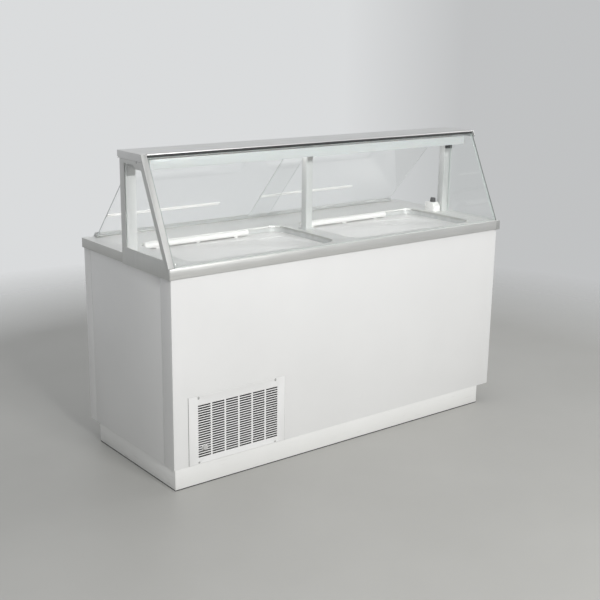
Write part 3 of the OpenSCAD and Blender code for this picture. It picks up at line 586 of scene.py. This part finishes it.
def grille_panel():
    """The slotted panel: the walls of its slots are painted near black as shade, so the slots read deeper."""
    obj = refined("grille_panel", [WHITE, SLOT_WALL_SHADE], 0.15 * MM)
    lo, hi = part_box("grille_panel")
    rim = 10 * MM
    for p in obj.data.polygons:
        inner = lo.x + rim < p.center.x < hi.x - rim and lo.z + rim < p.center.z < hi.z - rim
        p.material_index = 1 if inner and abs(p.normal.y) < 0.5 else 0


def painted_seam_shadow():
    """Grey strip on the ledge behind the open seam at the grille panel's left edge: painted shadow of the seam."""
    lo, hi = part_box("grille_panel")
    near = (lo.x - 2.8 * MM, hi.y - 0.4 * MM, lo.z + 1 * MM)
    far = (lo.x - 0.2 * MM, hi.y - 0.05 * MM, hi.z)
    bm = bmesh.new()
    box_into(bm, near, far)
    place("painted_seam_shadow", mesh_from(bm, "painted_seam_shadow"), SEAM_SHADOW_GREY, "front_panel", replaces=False)


def plinth_contact_shadow():
    """Dark strip round the foot of the plinth: painted contact shadow where it meets the floor."""
    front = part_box("kick_front")[0].y
    lo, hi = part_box("kick_sides")
    top, proud, depth = 3.5 * MM, 0.3 * MM, 1 * MM
    bm = bmesh.new()
    box_into(bm, (lo.x - proud, front - proud, 0), (hi.x + proud, front + depth, top))
    for x, way in ((lo.x, 1), (hi.x, -1)):
        a, b = sorted((x - way * proud, x + way * depth))
        box_into(bm, (a, front + depth, 0), (b, hi.y, top))
    place("plinth_contact_shadow", mesh_from(bm, "plinth_contact_shadow"), RUBBER, "kick_front", replaces=False)


def glass_seals():
    """Black gasket under the canopy, and a grey bead on the right end pane's slanted edge."""
    bead = 4 * MM
    obj = refined("glass_seals", [RUBBER, GREY_RUBBER], 0.7 * MM)
    inner_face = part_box("glass_seals")[1].x - bead
    for p in obj.data.polygons:
        p.material_index = 1 if p.center.x > inner_face else 0


worktop()
grille_panel()
painted_seam_shadow()
plinth_contact_shadow()
glass_seals()


def pane(node, clear, edge):
    """A pane with ground edges: wide faces clear, narrow ones satin."""
    normal = wide_normal(node)
    obj = refined(node, [clear, edge], 0.8 * MM, 1)
    for p in obj.data.polygons:
        p.material_index = 0 if abs(p.normal.dot(normal)) > 0.97 else 1


for node in ("front_glass", "left_end_glass", "right_end_glass"):
    pane(node, GLASS, GLASS_EDGE)
pane("rear_glass_left", ACRYLIC, ACRYLIC_EDGE)
pane("rear_glass_right", ACRYLIC, ACRYLIC_PALE)


def brackets():
    """The lamp's arms: grey ones, and a dark one at the right whose dark plastic is painted shade at the top of
    the right post.
    """
    spacing = 800 * MM
    for name, material, side in (("lamp_bracket_left", GREY_PLASTIC, -1),
                                 ("lamp_bracket_centre", GREY_PLASTIC, 0),
                                 # the right arm's dark plastic is painted shade below the lamp
                                 ("lamp_bracket_right_painted_shade", DARK_PLASTIC, 1)):
        bm = part_of(cad_form("lamp_brackets"), lambda c: round(c.x / spacing) == side)
        soften(bm, 0.8 * MM)
        place(name, mesh_from(bm, name), material, "lamp_brackets")


brackets()

# ---------------------------------------------------------------- grip tubes, pulls and knobs


def lid_handle(node):
    """Grip tube with domed end plugs on three moulded saddles."""
    lo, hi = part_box(node)
    lift, saddle, inset = 4 * MM, 16 * MM, 60 * MM
    r = (hi.z - lo.z - lift) / 2
    cy, cz = (lo.y + hi.y) / 2, hi.z - r
    bm = bmesh.new()
    lathe_into(bm, rounded_rod(hi.x - lo.x, r, 3.5 * MM), (lo.x, cy, cz), X, 56)
    for end, way in ((lo.x, 1), (hi.x, -1)):
        # shallow ring where the end plug meets the tube
        ring = [(0, r + 0.25 * MM), (1 * MM, r + 0.5 * MM), (9 * MM, r + 0.5 * MM), (10 * MM, r + 0.2 * MM)]
        lathe_into(bm, ring, (end + way * 4 * MM, cy, cz), X * way, 56)
    for cx in (lo.x + inset, (lo.x + hi.x) / 2, hi.x - inset):
        # saddle with a waist, from the lid up around the tube
        side = [(5, 0), (5, 1.5), (3.6, 4), (3.6, 7), (5.4, 11)]
        foot = [(-5, 0)] + side + [(-p, q) for p, q in side[:0:-1]]
        outline = [(p * MM, q * MM) for p, q in foot]
        start = Vector((cx - saddle / 2, cy, lo.z))
        extrusion_into(bm, outline, start, Y, Z, X * saddle, 0.5 * MM)
    place(node + "_grip", mesh_from(bm, node), GRIP, node)


for node in ("lid_handle_left", "lid_handle_right"):
    lid_handle(node)


def pull_strip(node):
    """Moulded strip with a rounded face and a shallow finger groove, bonded to its panel."""
    lo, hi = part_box(node)
    vertices = [v.co for v in frame["nodes"][node].data.vertices]
    low = min(vertices, key=lambda c: (round(c.z, 5), c.x))
    outwards = -Y if node.endswith("left") else Y
    up = rear_up()
    out = X.cross(up) if X.cross(up).dot(outwards) > 0 else up.cross(X)
    h = max((v - low).dot(up) for v in vertices) / MM
    t = max(abs((v - low).dot(out)) for v in vertices) / MM
    base = Vector((lo.x, low.y, low.z))
    base += out * min((v - base).dot(out) for v in vertices)
    # the lower half of the outline, in millimetres out from the panel and up
    half = [(0, 0), (t - 1.2, 0), (t - 0.3, 0.5), (t, 1.6), (t, h * 0.36), (t - 0.9, h * 0.46)]
    face = half + [(p, h - q) for p, q in reversed(half)]
    bm = bmesh.new()
    extrusion_into(bm, [(p * MM, q * MM) for p, q in face], base, out, up, X * (hi.x - lo.x), 0.3 * MM)
    place(node + "_strip", mesh_from(bm, node), GRIP, node)


for node in ("rear_pull_left", "rear_pull_right"):
    pull_strip(node)


def fluted_knob_into(bm, centre, axis, across, r, depth, flutes, bar):
    """Round knob with finger flutes and a raised grip bar across its face."""
    steps, flute_depth = flutes * 8, 0.035
    axis, across = Vector(axis), Vector(across)
    other = axis.cross(across)
    levels = [(0, 1.0), (depth * 0.72, 0.95), (depth * 0.88, 0.90), (depth * 0.95, 0.80)]
    rings = []
    for along, share in levels:
        ring = []
        for i in range(steps):
            a = 2 * pi * i / steps
            radius = r * share * (1 - flute_depth * (1 + cos(flutes * a)))
            ring.append(bm.verts.new(centre + axis * along + across * radius * cos(a)
                                     + other * radius * sin(a)))
        rings.append(ring)
    for a, b in zip(rings, rings[1:]):
        for i in range(steps):
            j = (i + 1) % steps
            bm.faces.new((a[i], a[j], b[j], b[i]))
    bm.faces.new(rings[0][::-1])
    bm.faces.new(rings[-1])
    outline = [(-r * 0.86, -bar), (r * 0.86, -bar), (r * 0.92, 0), (r * 0.86, bar), (-r * 0.86, bar)]
    extrusion_into(bm, outline, centre + axis * depth * 0.5, across, other, axis * depth * 0.5, 0.5 * MM)


def thermostat_knob():
    """The round knob in the grille, on its spindle."""
    lo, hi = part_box("thermostat_knob")
    r, depth = (hi.x - lo.x) / 2, 8 * MM
    centre = Vector(((lo.x + hi.x) / 2, lo.y + depth, (lo.z + hi.z) / 2))
    bm = bmesh.new()
    fluted_knob_into(bm, centre, -Y, Z, r, depth, 18, 2.2 * MM)
    lathe_into(bm, rounded_rod(hi.y - centre.y, 3 * MM, 0.5 * MM), centre, Y, 24)
    place("thermostat_knob_dial", mesh_from(bm, "thermostat_knob"), GREY_PLASTIC, "thermostat_knob")


def switch_knob():
    """The lamp's knob, upright on its spindle."""
    lo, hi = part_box("lamp_switch_knob")
    r, depth = (hi.x - lo.x) / 2, 20 * MM
    centre = Vector(((lo.x + hi.x) / 2, (lo.y + hi.y) / 2, hi.z - depth))
    bm = bmesh.new()
    fluted_knob_into(bm, centre, Z, Y, r, depth, 12, 2.8 * MM)
    lathe_into(bm, rounded_rod(centre.z - lo.z, 3 * MM, 0.5 * MM), (centre.x, centre.y, lo.z), Z, 24)
    place("lamp_switch_dial", mesh_from(bm, "lamp_switch_knob"), KNOB_PLASTIC, "lamp_switch_knob")


thermostat_knob()
switch_knob()

# ---------------------------------------------------------------- fasteners


def screw_into(bm, at, axis, r, height):
    """Domed screw head with a cross recess."""
    axis = Vector(axis)
    side = axis.orthogonal().normalized()
    other = axis.cross(side)
    dome = [(0, r), (height * 0.25, r), (height * 0.6, r * 0.86), (height * 0.9, r * 0.55),
            (height, r * 0.50)]
    lathe_into(bm, dome, at, axis, 32)
    # thin bars on the head's flat top, which read as the recess
    arm, half = r * 0.48, r * 0.11
    for u, v in ((side, other), (other, side)):
        outline = [(-arm, -half), (arm, -half), (arm, half), (-arm, half)]
        extrusion_into(bm, outline, Vector(at) + axis * (height - 0.05 * MM), u, v, axis * 0.12 * MM)


def fasteners():
    """Grille screws, and the clear stop of the front glass."""
    lo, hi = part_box("grille_panel")
    # the CAD node's points, gathered by the head that they belong to
    spots = {}
    for v in frame["nodes"]["screws"].data.vertices:
        key = (round(v.co.x, 1), round(v.co.z, 1), v.co.z > hi.z + 100 * MM)
        spots.setdefault(key, []).append(v.co.copy())
    heads = bmesh.new()
    stops = bmesh.new()
    for (_, _, on_worktop), points in spots.items():
        low = [min(p[i] for p in points) for i in range(3)]
        high = [max(p[i] for p in points) for i in range(3)]
        x, y, z = [(a + b) / 2 for a, b in zip(low, high)]
        if on_worktop:
            lathe_into(stops, rounded_rod(6 * MM, 4 * MM, 1.2 * MM), (x, y, low[2]), Z, 32)
        else:
            screw_into(heads, (x, lo.y, z), -Y, 4.2 * MM, 1.6 * MM)
            lathe_into(heads, [(0, 1.8 * MM), (8 * MM, 1.8 * MM)], (x, lo.y, z), Y, 16)
    place("grille_screws", mesh_from(heads, "grille_screws"), SCREW_STEEL, "screws")
    place("glass_stops", mesh_from(stops, "glass_stops"), SEALANT, "screws")


fasteners()


def hinge_rods():
    """Hinge rods with a push-on cap at each end."""
    lo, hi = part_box("lid_hinge_rods")
    bm = cad_form("lid_hinge_rods")
    r = (hi.z - lo.z) / 2
    cy, cz = (lo.y + hi.y) / 2, (lo.z + hi.z) / 2
    ends = sorted({round(v.co.x, 4) for v in frame["nodes"]["lid_hinge_rods"].data.vertices})
    near_middle = 300 * MM
    inner = [x for x in ends if abs(x) < near_middle]
    cap = [(0, 0), (0, r + 2 * MM), (1 * MM, r + 2 * MM), (2.2 * MM, r + 0.8 * MM), (2.6 * MM, r * 0.5),
           (2.6 * MM, 0)]
    for x, way in ((ends[0], -1), (inner[0], 1), (inner[-1], -1), (ends[-1], 1)):
        lathe_into(bm, cap, (x, cy, cz), X * way, 24)
    place("lid_hinge_rods_capped", mesh_from(bm, "lid_hinge_rods"), PLATED, "lid_hinge_rods")


hinge_rods()

# ---------------------------------------------------------------- lamp ends and glass foot


def lamp_ends():
    """Moulded caps on the ends of the lamp housing."""
    lo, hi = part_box("lamp_housing")
    bm = bmesh.new()
    proud, length = 0.7 * MM, 14 * MM
    for a, b in ((lo.x, lo.x + length), (hi.x - length, hi.x)):
        box_into(bm, (a, lo.y - proud, lo.z + 0.2 * MM), (b, hi.y + proud, hi.z - 0.3 * MM), 1.4 * MM)
    place("lamp_end_caps", mesh_from(bm, "lamp_end_caps"), LAMP_HOUSING_PAINTED_GLOW, "lamp_housing", replaces=False)


lamp_ends()


def glass_bead():
    """Bead of clear sealant along the foot of the front glass."""
    lo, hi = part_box("front_glass")
    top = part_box("worktop")[1].z
    outline = [(-p * MM, q * MM) for p, q in ((0, 0), (0, 2.6), (1.2, 1.7), (2.2, 0))]
    start = Vector((lo.x + 2 * MM, lo.y + 1.2 * MM, top))
    length = hi.x - lo.x - 6 * MM
    bm = bmesh.new()
    extrusion_into(bm, outline, start, Y, Z, X * length, 0.3 * MM)
    place("glass_foot_bead", mesh_from(bm, "glass_foot_bead"), SEALANT, "front_glass", replaces=False)


glass_bead()

# ---------------------------------------------------------------- rear side


def vent_cover():
    """Cover sheet with pressed louvre hoods over its slots, and its screws."""
    lo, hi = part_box("rear_vent_cover")
    bm = cad_form("rear_vent_cover")
    soften(bm, 0.4 * MM)
    count, pitch, first, margin = 12, 16 * MM, 24 * MM, 30 * MM
    # each hood leans inwards over its slot
    hood = [(p * MM, q * MM) for p, q in ((0, 6.6), (0, 5.8), (-6.0, 1.4), (-6.6, 2.0))]
    for i in range(count):
        start = Vector((lo.x + margin, lo.y + 0.6 * MM, lo.z + first + i * pitch))
        extrusion_into(bm, hood, start, Y, Z, X * (hi.x - lo.x - 2 * margin), 0.15 * MM)
    place("rear_vent_louvres", mesh_from(bm, "rear_vent_cover"), WHITE, "rear_vent_cover")
    heads = bmesh.new()
    inset = 8 * MM
    for x in (lo.x + inset, hi.x - inset):
        for z in (lo.z + inset, (lo.z + hi.z) / 2, hi.z - inset):
            screw_into(heads, (x, hi.y - 0.05 * MM, z), Y, 3.4 * MM, 0.9 * MM)
    place("rear_vent_screws", mesh_from(heads, "rear_vent_screws"), PLATED, "rear_vent_cover", replaces=False)


vent_cover()


def gland_nut():
    """Six-sided nut and dome of the cable gland, around its clear bore."""
    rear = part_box("service_box")[1].y
    at = Vector((-690 * MM, rear - 32 * MM, 300 * MM))
    bore, nut_r, nut_end = 4.5 * MM, 10.6 * MM, 7 * MM
    nut = bmesh.new()
    lathe_shell(nut, [(0, bore), (0, nut_r), (nut_end, nut_r), (nut_end, bore), (0, bore)], at, Y, 6)
    soften(nut, 0.5 * MM)
    dome = [(nut_end, bore), (nut_end, 9 * MM), (14 * MM, 8.4 * MM), (16 * MM, 6.4 * MM), (16.6 * MM, bore),
            (nut_end, bore)]
    bm = bmesh.new()
    merge(bm, nut)
    lathe_shell(bm, dome, at, Y, 40)
    place("cable_gland_nut", mesh_from(bm, "cable_gland_nut"), DARK_PLASTIC, "service_box", replaces=False)


gland_nut()


def drain():
    """Drain tube with a flange in the tank and hose ridges on its spigot."""
    lo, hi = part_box("drain_fitting")
    cx, cy = (lo.x + hi.x) / 2, (lo.y + hi.y) / 2
    bore, spigot, tube, flange = 8.5 * MM, 10.5 * MM, 12 * MM, 22 * MM
    ridges, pitch = 4, 8 * MM
    shoulder = lo.z + 38 * MM
    loop = [(lo.z, bore)]
    for i in range(ridges):
        z = lo.z + i * pitch
        loop += [(z, spigot - 1.1 * MM), (z + 5.5 * MM, spigot), (z + 6.2 * MM, spigot - 0.9 * MM)]
    loop += [(shoulder, spigot), (shoulder, tube), (hi.z - 3 * MM, tube), (hi.z - 3 * MM, flange),
             (hi.z - 1 * MM, flange), (hi.z, flange - 2 * MM), (hi.z - 1 * MM, bore), (lo.z, bore)]
    bm = bmesh.new()
    lathe_shell(bm, loop, (cx, cy, 0), Z, 48)
    place("drain_fitting_turned", mesh_from(bm, "drain_fitting"), PLATED, "drain_fitting")


drain()

# ---------------------------------------------------------------- machine compartment


def condenser():
    """Fin block with end plates, rows of tube and their return bends."""
    lo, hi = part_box("condenser")
    plate, fin, wave = 1.5 * MM, 0.4 * MM, 0.8 * MM
    x0, x1 = lo.x + 6 * MM, hi.x - 6 * MM
    bm = bmesh.new()
    for x in (x0, x1 - plate):
        box_into(bm, (x, lo.y, lo.z), (x + plate, hi.y, hi.z), 0.4 * MM)
    for z in (lo.z, hi.z - plate):
        box_into(bm, (x0, lo.y, z), (x1, hi.y, z + plate), 0.4 * MM)
    pitch = 3.6 * MM
    count = int((x1 - x0 - 8 * MM) / pitch)
    line = [(lo.y + 1 * MM, 0), (lo.y + 9 * MM, wave), (lo.y + 18 * MM, 0), (lo.y + 27 * MM, wave),
            (hi.y - 1 * MM, 0)]
    outline = line + [(y, d + fin) for y, d in reversed(line)]
    for i in range(count):
        start = Vector((x0 + 5 * MM + i * pitch, 0, lo.z + 1.6 * MM))
        extrusion_into(bm, outline, start, Y, X, Z * (hi.z - lo.z - 3.2 * MM))
    place("condenser_fins", mesh_from(bm, "condenser"), FINS, "condenser")
    tubes = bmesh.new()
    rows, pitch_z, first, reach = 8, 26 * MM, 16 * MM, 5.5 * MM
    half_turn = [pi * k / 12 for k in range(13)]
    for y in (lo.y + 10 * MM, hi.y - 10 * MM):
        for i in range(rows):
            z = lo.z + first + i * pitch_z
            tube_into(tubes, [Vector((x0 - 1 * MM, y, z)), Vector((x1 + 1 * MM, y, z))], 4 * MM)
        for i in range(rows - 1):
            z = lo.z + first + (i + 0.5) * pitch_z
            end, way = (x1, 1) if i % 2 == 0 else (x0, -1)
            bend = [Vector((end + way * reach * sin(a), y, z - pitch_z / 2 * cos(a))) for a in half_turn]
            tube_into(tubes, bend, 3.6 * MM)
    # black tubes: a dark finish, and also painted shade seen through the grille's slots
    place("condenser_tubes", mesh_from(tubes, "condenser_tubes"), BLACK_PAINT, "condenser", replaces=False)


BLADE_ROWS, BLADE_STEPS = 10, 8


def blade_grid(centre, turn, side):
    """One face of a twisted fan blade: rows of points from its root to its tip."""
    root, span, thick = 17 * MM, 71 * MM, 1.2 * MM
    grid = []
    for i in range(BLADE_ROWS + 1):
        t = i / BLADE_ROWS
        r = root + t * span
        twist = radians(44 - 20 * t)
        half_chord = (15 + 11 * sin(pi * (0.25 + 0.6 * t))) * MM
        row = []
        for j in range(BLADE_STEPS + 1):
            across = 2 * j / BLADE_STEPS - 1
            s = across * half_chord
            camber = 2.4 * MM * (1 - across ** 2)
            a = turn + (s * cos(twist) + 10 * MM * t * t) / r
            axial = s * sin(twist) * 0.72 + camber + side * thick
            row.append(centre + Vector((r * cos(a), axial, r * sin(a))))
        grid.append(row)
    return grid


def fan_blade():
    """Five twisted sheet blades on a domed hub."""
    shroud_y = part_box("fan_shroud")[0].y
    joint = next(j for j in frame["joints"] if j["name"] == "fan_spin")
    x, z = joint["pos_m"][0], joint["pos_m"][2]
    centre = Vector((x, shroud_y + 18 * MM, z))
    blades = 5
    bm = bmesh.new()
    for k in range(blades):
        layers = []
        for side in (-0.5, 0.5):
            grid = [[bm.verts.new(v) for v in row] for row in blade_grid(centre, 2 * pi * k / blades, side)]
            layers.append(grid)
            for i in range(BLADE_ROWS):
                for j in range(BLADE_STEPS):
                    bm.faces.new((grid[i][j], grid[i + 1][j], grid[i + 1][j + 1], grid[i][j + 1]))
        a, b = layers
        rim = [(i, 0) for i in range(BLADE_ROWS)]
        rim += [(BLADE_ROWS, j) for j in range(BLADE_STEPS)]
        rim += [(i, BLADE_STEPS) for i in range(BLADE_ROWS, 0, -1)]
        rim += [(0, j) for j in range(BLADE_STEPS, 0, -1)]
        for (i, j), (m, n) in zip(rim, rim[1:] + rim[:1]):
            bm.faces.new((a[i][j], a[m][n], b[m][n], b[i][j]))
    hub = [(0, 0), (1 * MM, 10 * MM), (4 * MM, 17 * MM), (8 * MM, 20 * MM), (23 * MM, 20 * MM),
           (24 * MM, 19 * MM), (24 * MM, 0)]
    lathe_into(bm, hub, (x, shroud_y + 6 * MM, z), Y, 40)
    lathe_into(bm, rounded_rod(34 * MM, 3 * MM, 0.5 * MM), (x, shroud_y + 22 * MM, z), Y, 20)
    place("fan_blade_twisted", mesh_from(bm, "fan_blade"), FAN_METAL, "fan_blade")


def compressor():
    """Welded steel shell on a foot plate with rubber mounts, and its terminal cover."""
    lo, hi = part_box("compressor")
    cx, cy = (lo.x + hi.x) / 2, (lo.y + hi.y) / 2
    r, bottom, top = 78 * MM, 95 * MM, hi.z
    seam = (bottom + top) / 2
    steps = 8
    quarter = [pi / 2 * i / steps for i in range(steps + 1)]
    shell = [(bottom, 0)]
    shell += [(bottom + 36 * MM * (1 - cos(a)), r * sin(a) ** 0.9) for a in quarter[1:]]
    shell += [(seam - 3 * MM, r), (seam - 2.5 * MM, r + 2.2 * MM), (seam + 2 * MM, r + 2.4 * MM),
              (seam + 2.6 * MM, r - 1 * MM)]
    shell += [(top - 38 * MM * (1 - cos(a)), (r - 1 * MM) * sin(a) ** 0.9) for a in reversed(quarter)]
    bm = bmesh.new()
    lathe_into(bm, shell, (cx, cy, 0), Z, 72)
    plate_x, plate_y, plate_top = 110 * MM, 80 * MM, 100 * MM
    box_into(bm, (cx - plate_x, cy - plate_y, plate_top - 3 * MM), (cx + plate_x, cy + plate_y, plate_top),
             0.8 * MM)
    cover_lo = (cx + r - 8 * MM, cy - 30 * MM, 150 * MM)
    cover_hi = (cx + r + 30 * MM, cy + 30 * MM, 215 * MM)
    box_into(bm, cover_lo, cover_hi, 4 * MM)
    place("compressor_shell", mesh_from(bm, "compressor"), BLACK_GLOSS, "compressor")
    grommet = [(0, 0), (0, 11 * MM), (1 * MM, 12 * MM), (4 * MM, 12 * MM), (5.5 * MM, 9.5 * MM),
               (8 * MM, 9.5 * MM), (9 * MM, 12 * MM), (12 * MM, 12 * MM), (12 * MM, 0)]
    washer = [(0, 9 * MM), (2.5 * MM, 8 * MM), (3 * MM, 0)]
    feet = bmesh.new()
    for x in (cx - 95 * MM, cx + 95 * MM):
        for y in (cy - 65 * MM, cy + 65 * MM):
            lathe_into(feet, grommet, (x, y, lo.z), Z, 32)
            lathe_into(feet, washer, (x, y, plate_top), Z, 32)
    place("compressor_mounts", mesh_from(feet, "compressor_mounts"), RUBBER, "compressor", replaces=False)


def copper_lines():
    """Suction, discharge and liquid lines on the same routes as their CAD solids, with a filter drier."""
    lo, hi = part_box("refrigerant_pipes")
    comp_lo, comp_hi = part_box("compressor")
    cx, cy = (comp_lo.x + comp_hi.x) / 2, (comp_lo.y + comp_hi.y) / 2
    r, bend = 4 * MM, 20 * MM
    suction_x, suction_end, top = cx - 2 * bend, -324 * MM, hi.z - r
    suction = [(suction_x, cy, comp_hi.z - 6 * MM), (suction_x, cy, top), (suction_end, cy, top)]
    discharge_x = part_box("condenser")[1].x + 18 * MM
    discharge_y, discharge_z = cy + 50 * MM, 235 * MM
    discharge = [(cx + 79 * MM, discharge_y, discharge_z), (discharge_x, discharge_y, discharge_z),
                 (discharge_x, lo.y, discharge_z)]
    bm = bmesh.new()
    for route in (suction, discharge):
        tube_into(bm, cornered([Vector(p) for p in route], bend), r)
    drier_x, liquid_z = lo.x + 13 * MM, 250 * MM
    liquid_front, liquid_rear, drier_front = -230 * MM, 10 * MM, -170 * MM
    tube_into(bm, [Vector((drier_x, y, liquid_z)) for y in (liquid_front, liquid_rear)], r)
    drier = [(0, r), (8 * MM, 5 * MM), (22 * MM, 12.6 * MM), (26 * MM, 13 * MM), (92 * MM, 13 * MM),
             (96 * MM, 12.6 * MM), (110 * MM, r)]
    lathe_into(bm, drier, (drier_x, drier_front, liquid_z), Y, 40)
    place("copper_lines", mesh_from(bm, "refrigerant_pipes"), COPPER, "refrigerant_pipes")


condenser()
fan_blade()
compressor()
copper_lines()

# ---------------------------------------------------------------- left gusset


def gusset_screw():
    """The dark screw that holds the lamp's arm through the end frame's gusset."""
    lo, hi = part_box("left_end_frame")
    arm_y, drop, proud = -128 * MM, 32 * MM, 0.3 * MM
    at = Vector((lo.x + proud, arm_y, hi.z - drop))
    head = [(0, 3.6 * MM), (proud, 3.4 * MM), (proud, 1.6 * MM), (0.1 * MM, 1.4 * MM)]
    bm = bmesh.new()
    lathe_into(bm, head, at, -X, 24)
    place("gusset_screw", mesh_from(bm, "gusset_screw"), DARK_PLASTIC, "left_end_frame", replaces=False)


gusset_screw()

# ---------------------------------------------------------------- stage, light and camera


def stage_floor():
    """A pale floor that fades out well behind the cabinet."""
    radius, fade_start, fade_end = 4, 1.9, 3.4
    bm = bmesh.new()
    bmesh.ops.create_circle(bm, cap_ends=True, segments=96, radius=radius)
    floor = bpy.data.objects.new("floor", mesh_from(bm, "floor"))
    bpy.context.scene.collection.objects.link(floor)
    n = Nodes("pale_floor")
    n.colour(n.mix(n.range(n.noise(1.2, 5), 0, 1), (0.44, 0.437, 0.418), (0.47, 0.467, 0.448)))
    n.roughness(n.range(n.noise(3, 5), 0.44, 0.50))
    distance = n.tree.nodes.new("ShaderNodeVectorMath")
    distance.operation = "LENGTH"
    n.link(n.position, distance.inputs[0])
    clear = n.tree.nodes.new("ShaderNodeBsdfTransparent")
    both = n.tree.nodes.new("ShaderNodeMixShader")
    n.link(n.range(distance.outputs["Value"], 0, 1, fade_start, fade_end), both.inputs["Fac"])
    n.link(n.shader.outputs["BSDF"], both.inputs[1])
    n.link(clear.outputs["BSDF"], both.inputs[2])
    n.link(both.outputs["Shader"], n.out.inputs["Surface"])
    floor.data.materials.append(n.material)


def area_light(name, place_at, aim, size, energy, colour):
    """A rectangular lamp that points at a place, with its energy in watts."""
    data = bpy.data.lights.new(name, "AREA")
    data.shape = "RECTANGLE"
    data.size, data.size_y = size
    data.energy = energy
    data.color = colour
    light = bpy.data.objects.new(name, data)
    light.location = place_at
    light.rotation_euler = (Vector(aim) - Vector(place_at)).to_track_quat("-Z", "Y").to_euler()
    light.visible_transmission = False
    bpy.context.scene.collection.objects.link(light)
    return light


def world_light():
    """Studio light: brighter behind and to the right, and a step dimmer past an upright line."""
    world = bpy.data.worlds.new("studio")
    bpy.context.scene.world = world
    world.use_nodes = True
    tree = world.node_tree
    background = tree.nodes["Background"]
    background.inputs["Color"].default_value = (0.95, 0.965, 0.975, 1)
    coords = tree.nodes.new("ShaderNodeTexCoord")

    def level_towards(direction, lean, level):
        """Maps how far a view leans towards the direction to a level."""
        dot = tree.nodes.new("ShaderNodeVectorMath")
        dot.operation = "DOT_PRODUCT"
        dot.inputs[1].default_value = direction
        tree.links.new(coords.outputs["Generated"], dot.inputs[0])
        spread = tree.nodes.new("ShaderNodeMapRange")
        limits = {"From Min": lean[0], "From Max": lean[1], "To Min": level[0], "To Max": level[1]}
        for key, limit in limits.items():
            spread.inputs[key].default_value = limit
        tree.links.new(dot.outputs["Value"], spread.inputs["Value"])
        return spread.outputs["Result"]

    both = tree.nodes.new("ShaderNodeMath")
    both.operation = "MULTIPLY"
    glow = level_towards((0.62, 0.70, 0.35), lean=(-0.6, 0.8), level=(0.34, 0.74))
    step = level_towards((0.731, -0.682, 0), lean=(-0.05, 0.06), level=(1.0, 0.76))
    tree.links.new(glow, both.inputs[0])
    tree.links.new(step, both.inputs[1])
    tree.links.new(both.outputs["Value"], background.inputs["Strength"])


def camera():
    """The viewing place: yaw from +Y towards +X, pitch downwards, small roll, angles in degrees."""
    place_at, lens = (-2.6961, -3.4538, 1.7101), 62.29
    yaw, pitch, roll = radians(37.9001), radians(14.9131), radians(-0.7665)
    forward = Vector((sin(yaw) * cos(pitch), cos(yaw) * cos(pitch), -sin(pitch)))
    level_right = Vector((cos(yaw), -sin(yaw), 0))
    level_down = forward.cross(level_right)
    right = level_right * cos(roll) + level_down * sin(roll)
    down = level_down * cos(roll) - level_right * sin(roll)
    data = bpy.data.cameras.new("camera")
    data.lens = lens
    data.sensor_width = 36
    data.clip_end = 60
    cam = bpy.data.objects.new("camera", data)
    rows = [[right[i], -down[i], -forward[i]] for i in range(3)]
    cam.matrix_world = Matrix.Translation(place_at) @ Matrix(rows).to_4x4()
    bpy.context.scene.collection.objects.link(cam)
    bpy.context.scene.camera = cam


stage_floor()
world_light()
area_light("front", place_at=(-0.7, -5.2, 3.1), aim=(0.1, 0, 0.5), size=(1.9, 1.3), energy=200,
           colour=(1.0, 0.995, 0.985))
area_light("side", place_at=(5.0, -0.8, 3.4), aim=(0.3, 0, 0.7), size=(2.4, 2.4), energy=45,
           colour=(1.0, 0.99, 0.975))
# stands in for the lamp's light on the lids, from behind the lamp
wash = area_light("lamp_wash", place_at=(0.02, -0.03, 1.19), aim=(0.02, -0.06, 0.86), size=(1.5, 0.05),
                  energy=0.85, colour=(1.0, 0.985, 0.97))
wash.visible_camera = False
wash.visible_glossy = False
camera()
scene = bpy.context.scene
scene.view_settings.view_transform = "Standard"
scene.view_settings.look = "None"
scene.view_settings.exposure = 0.0
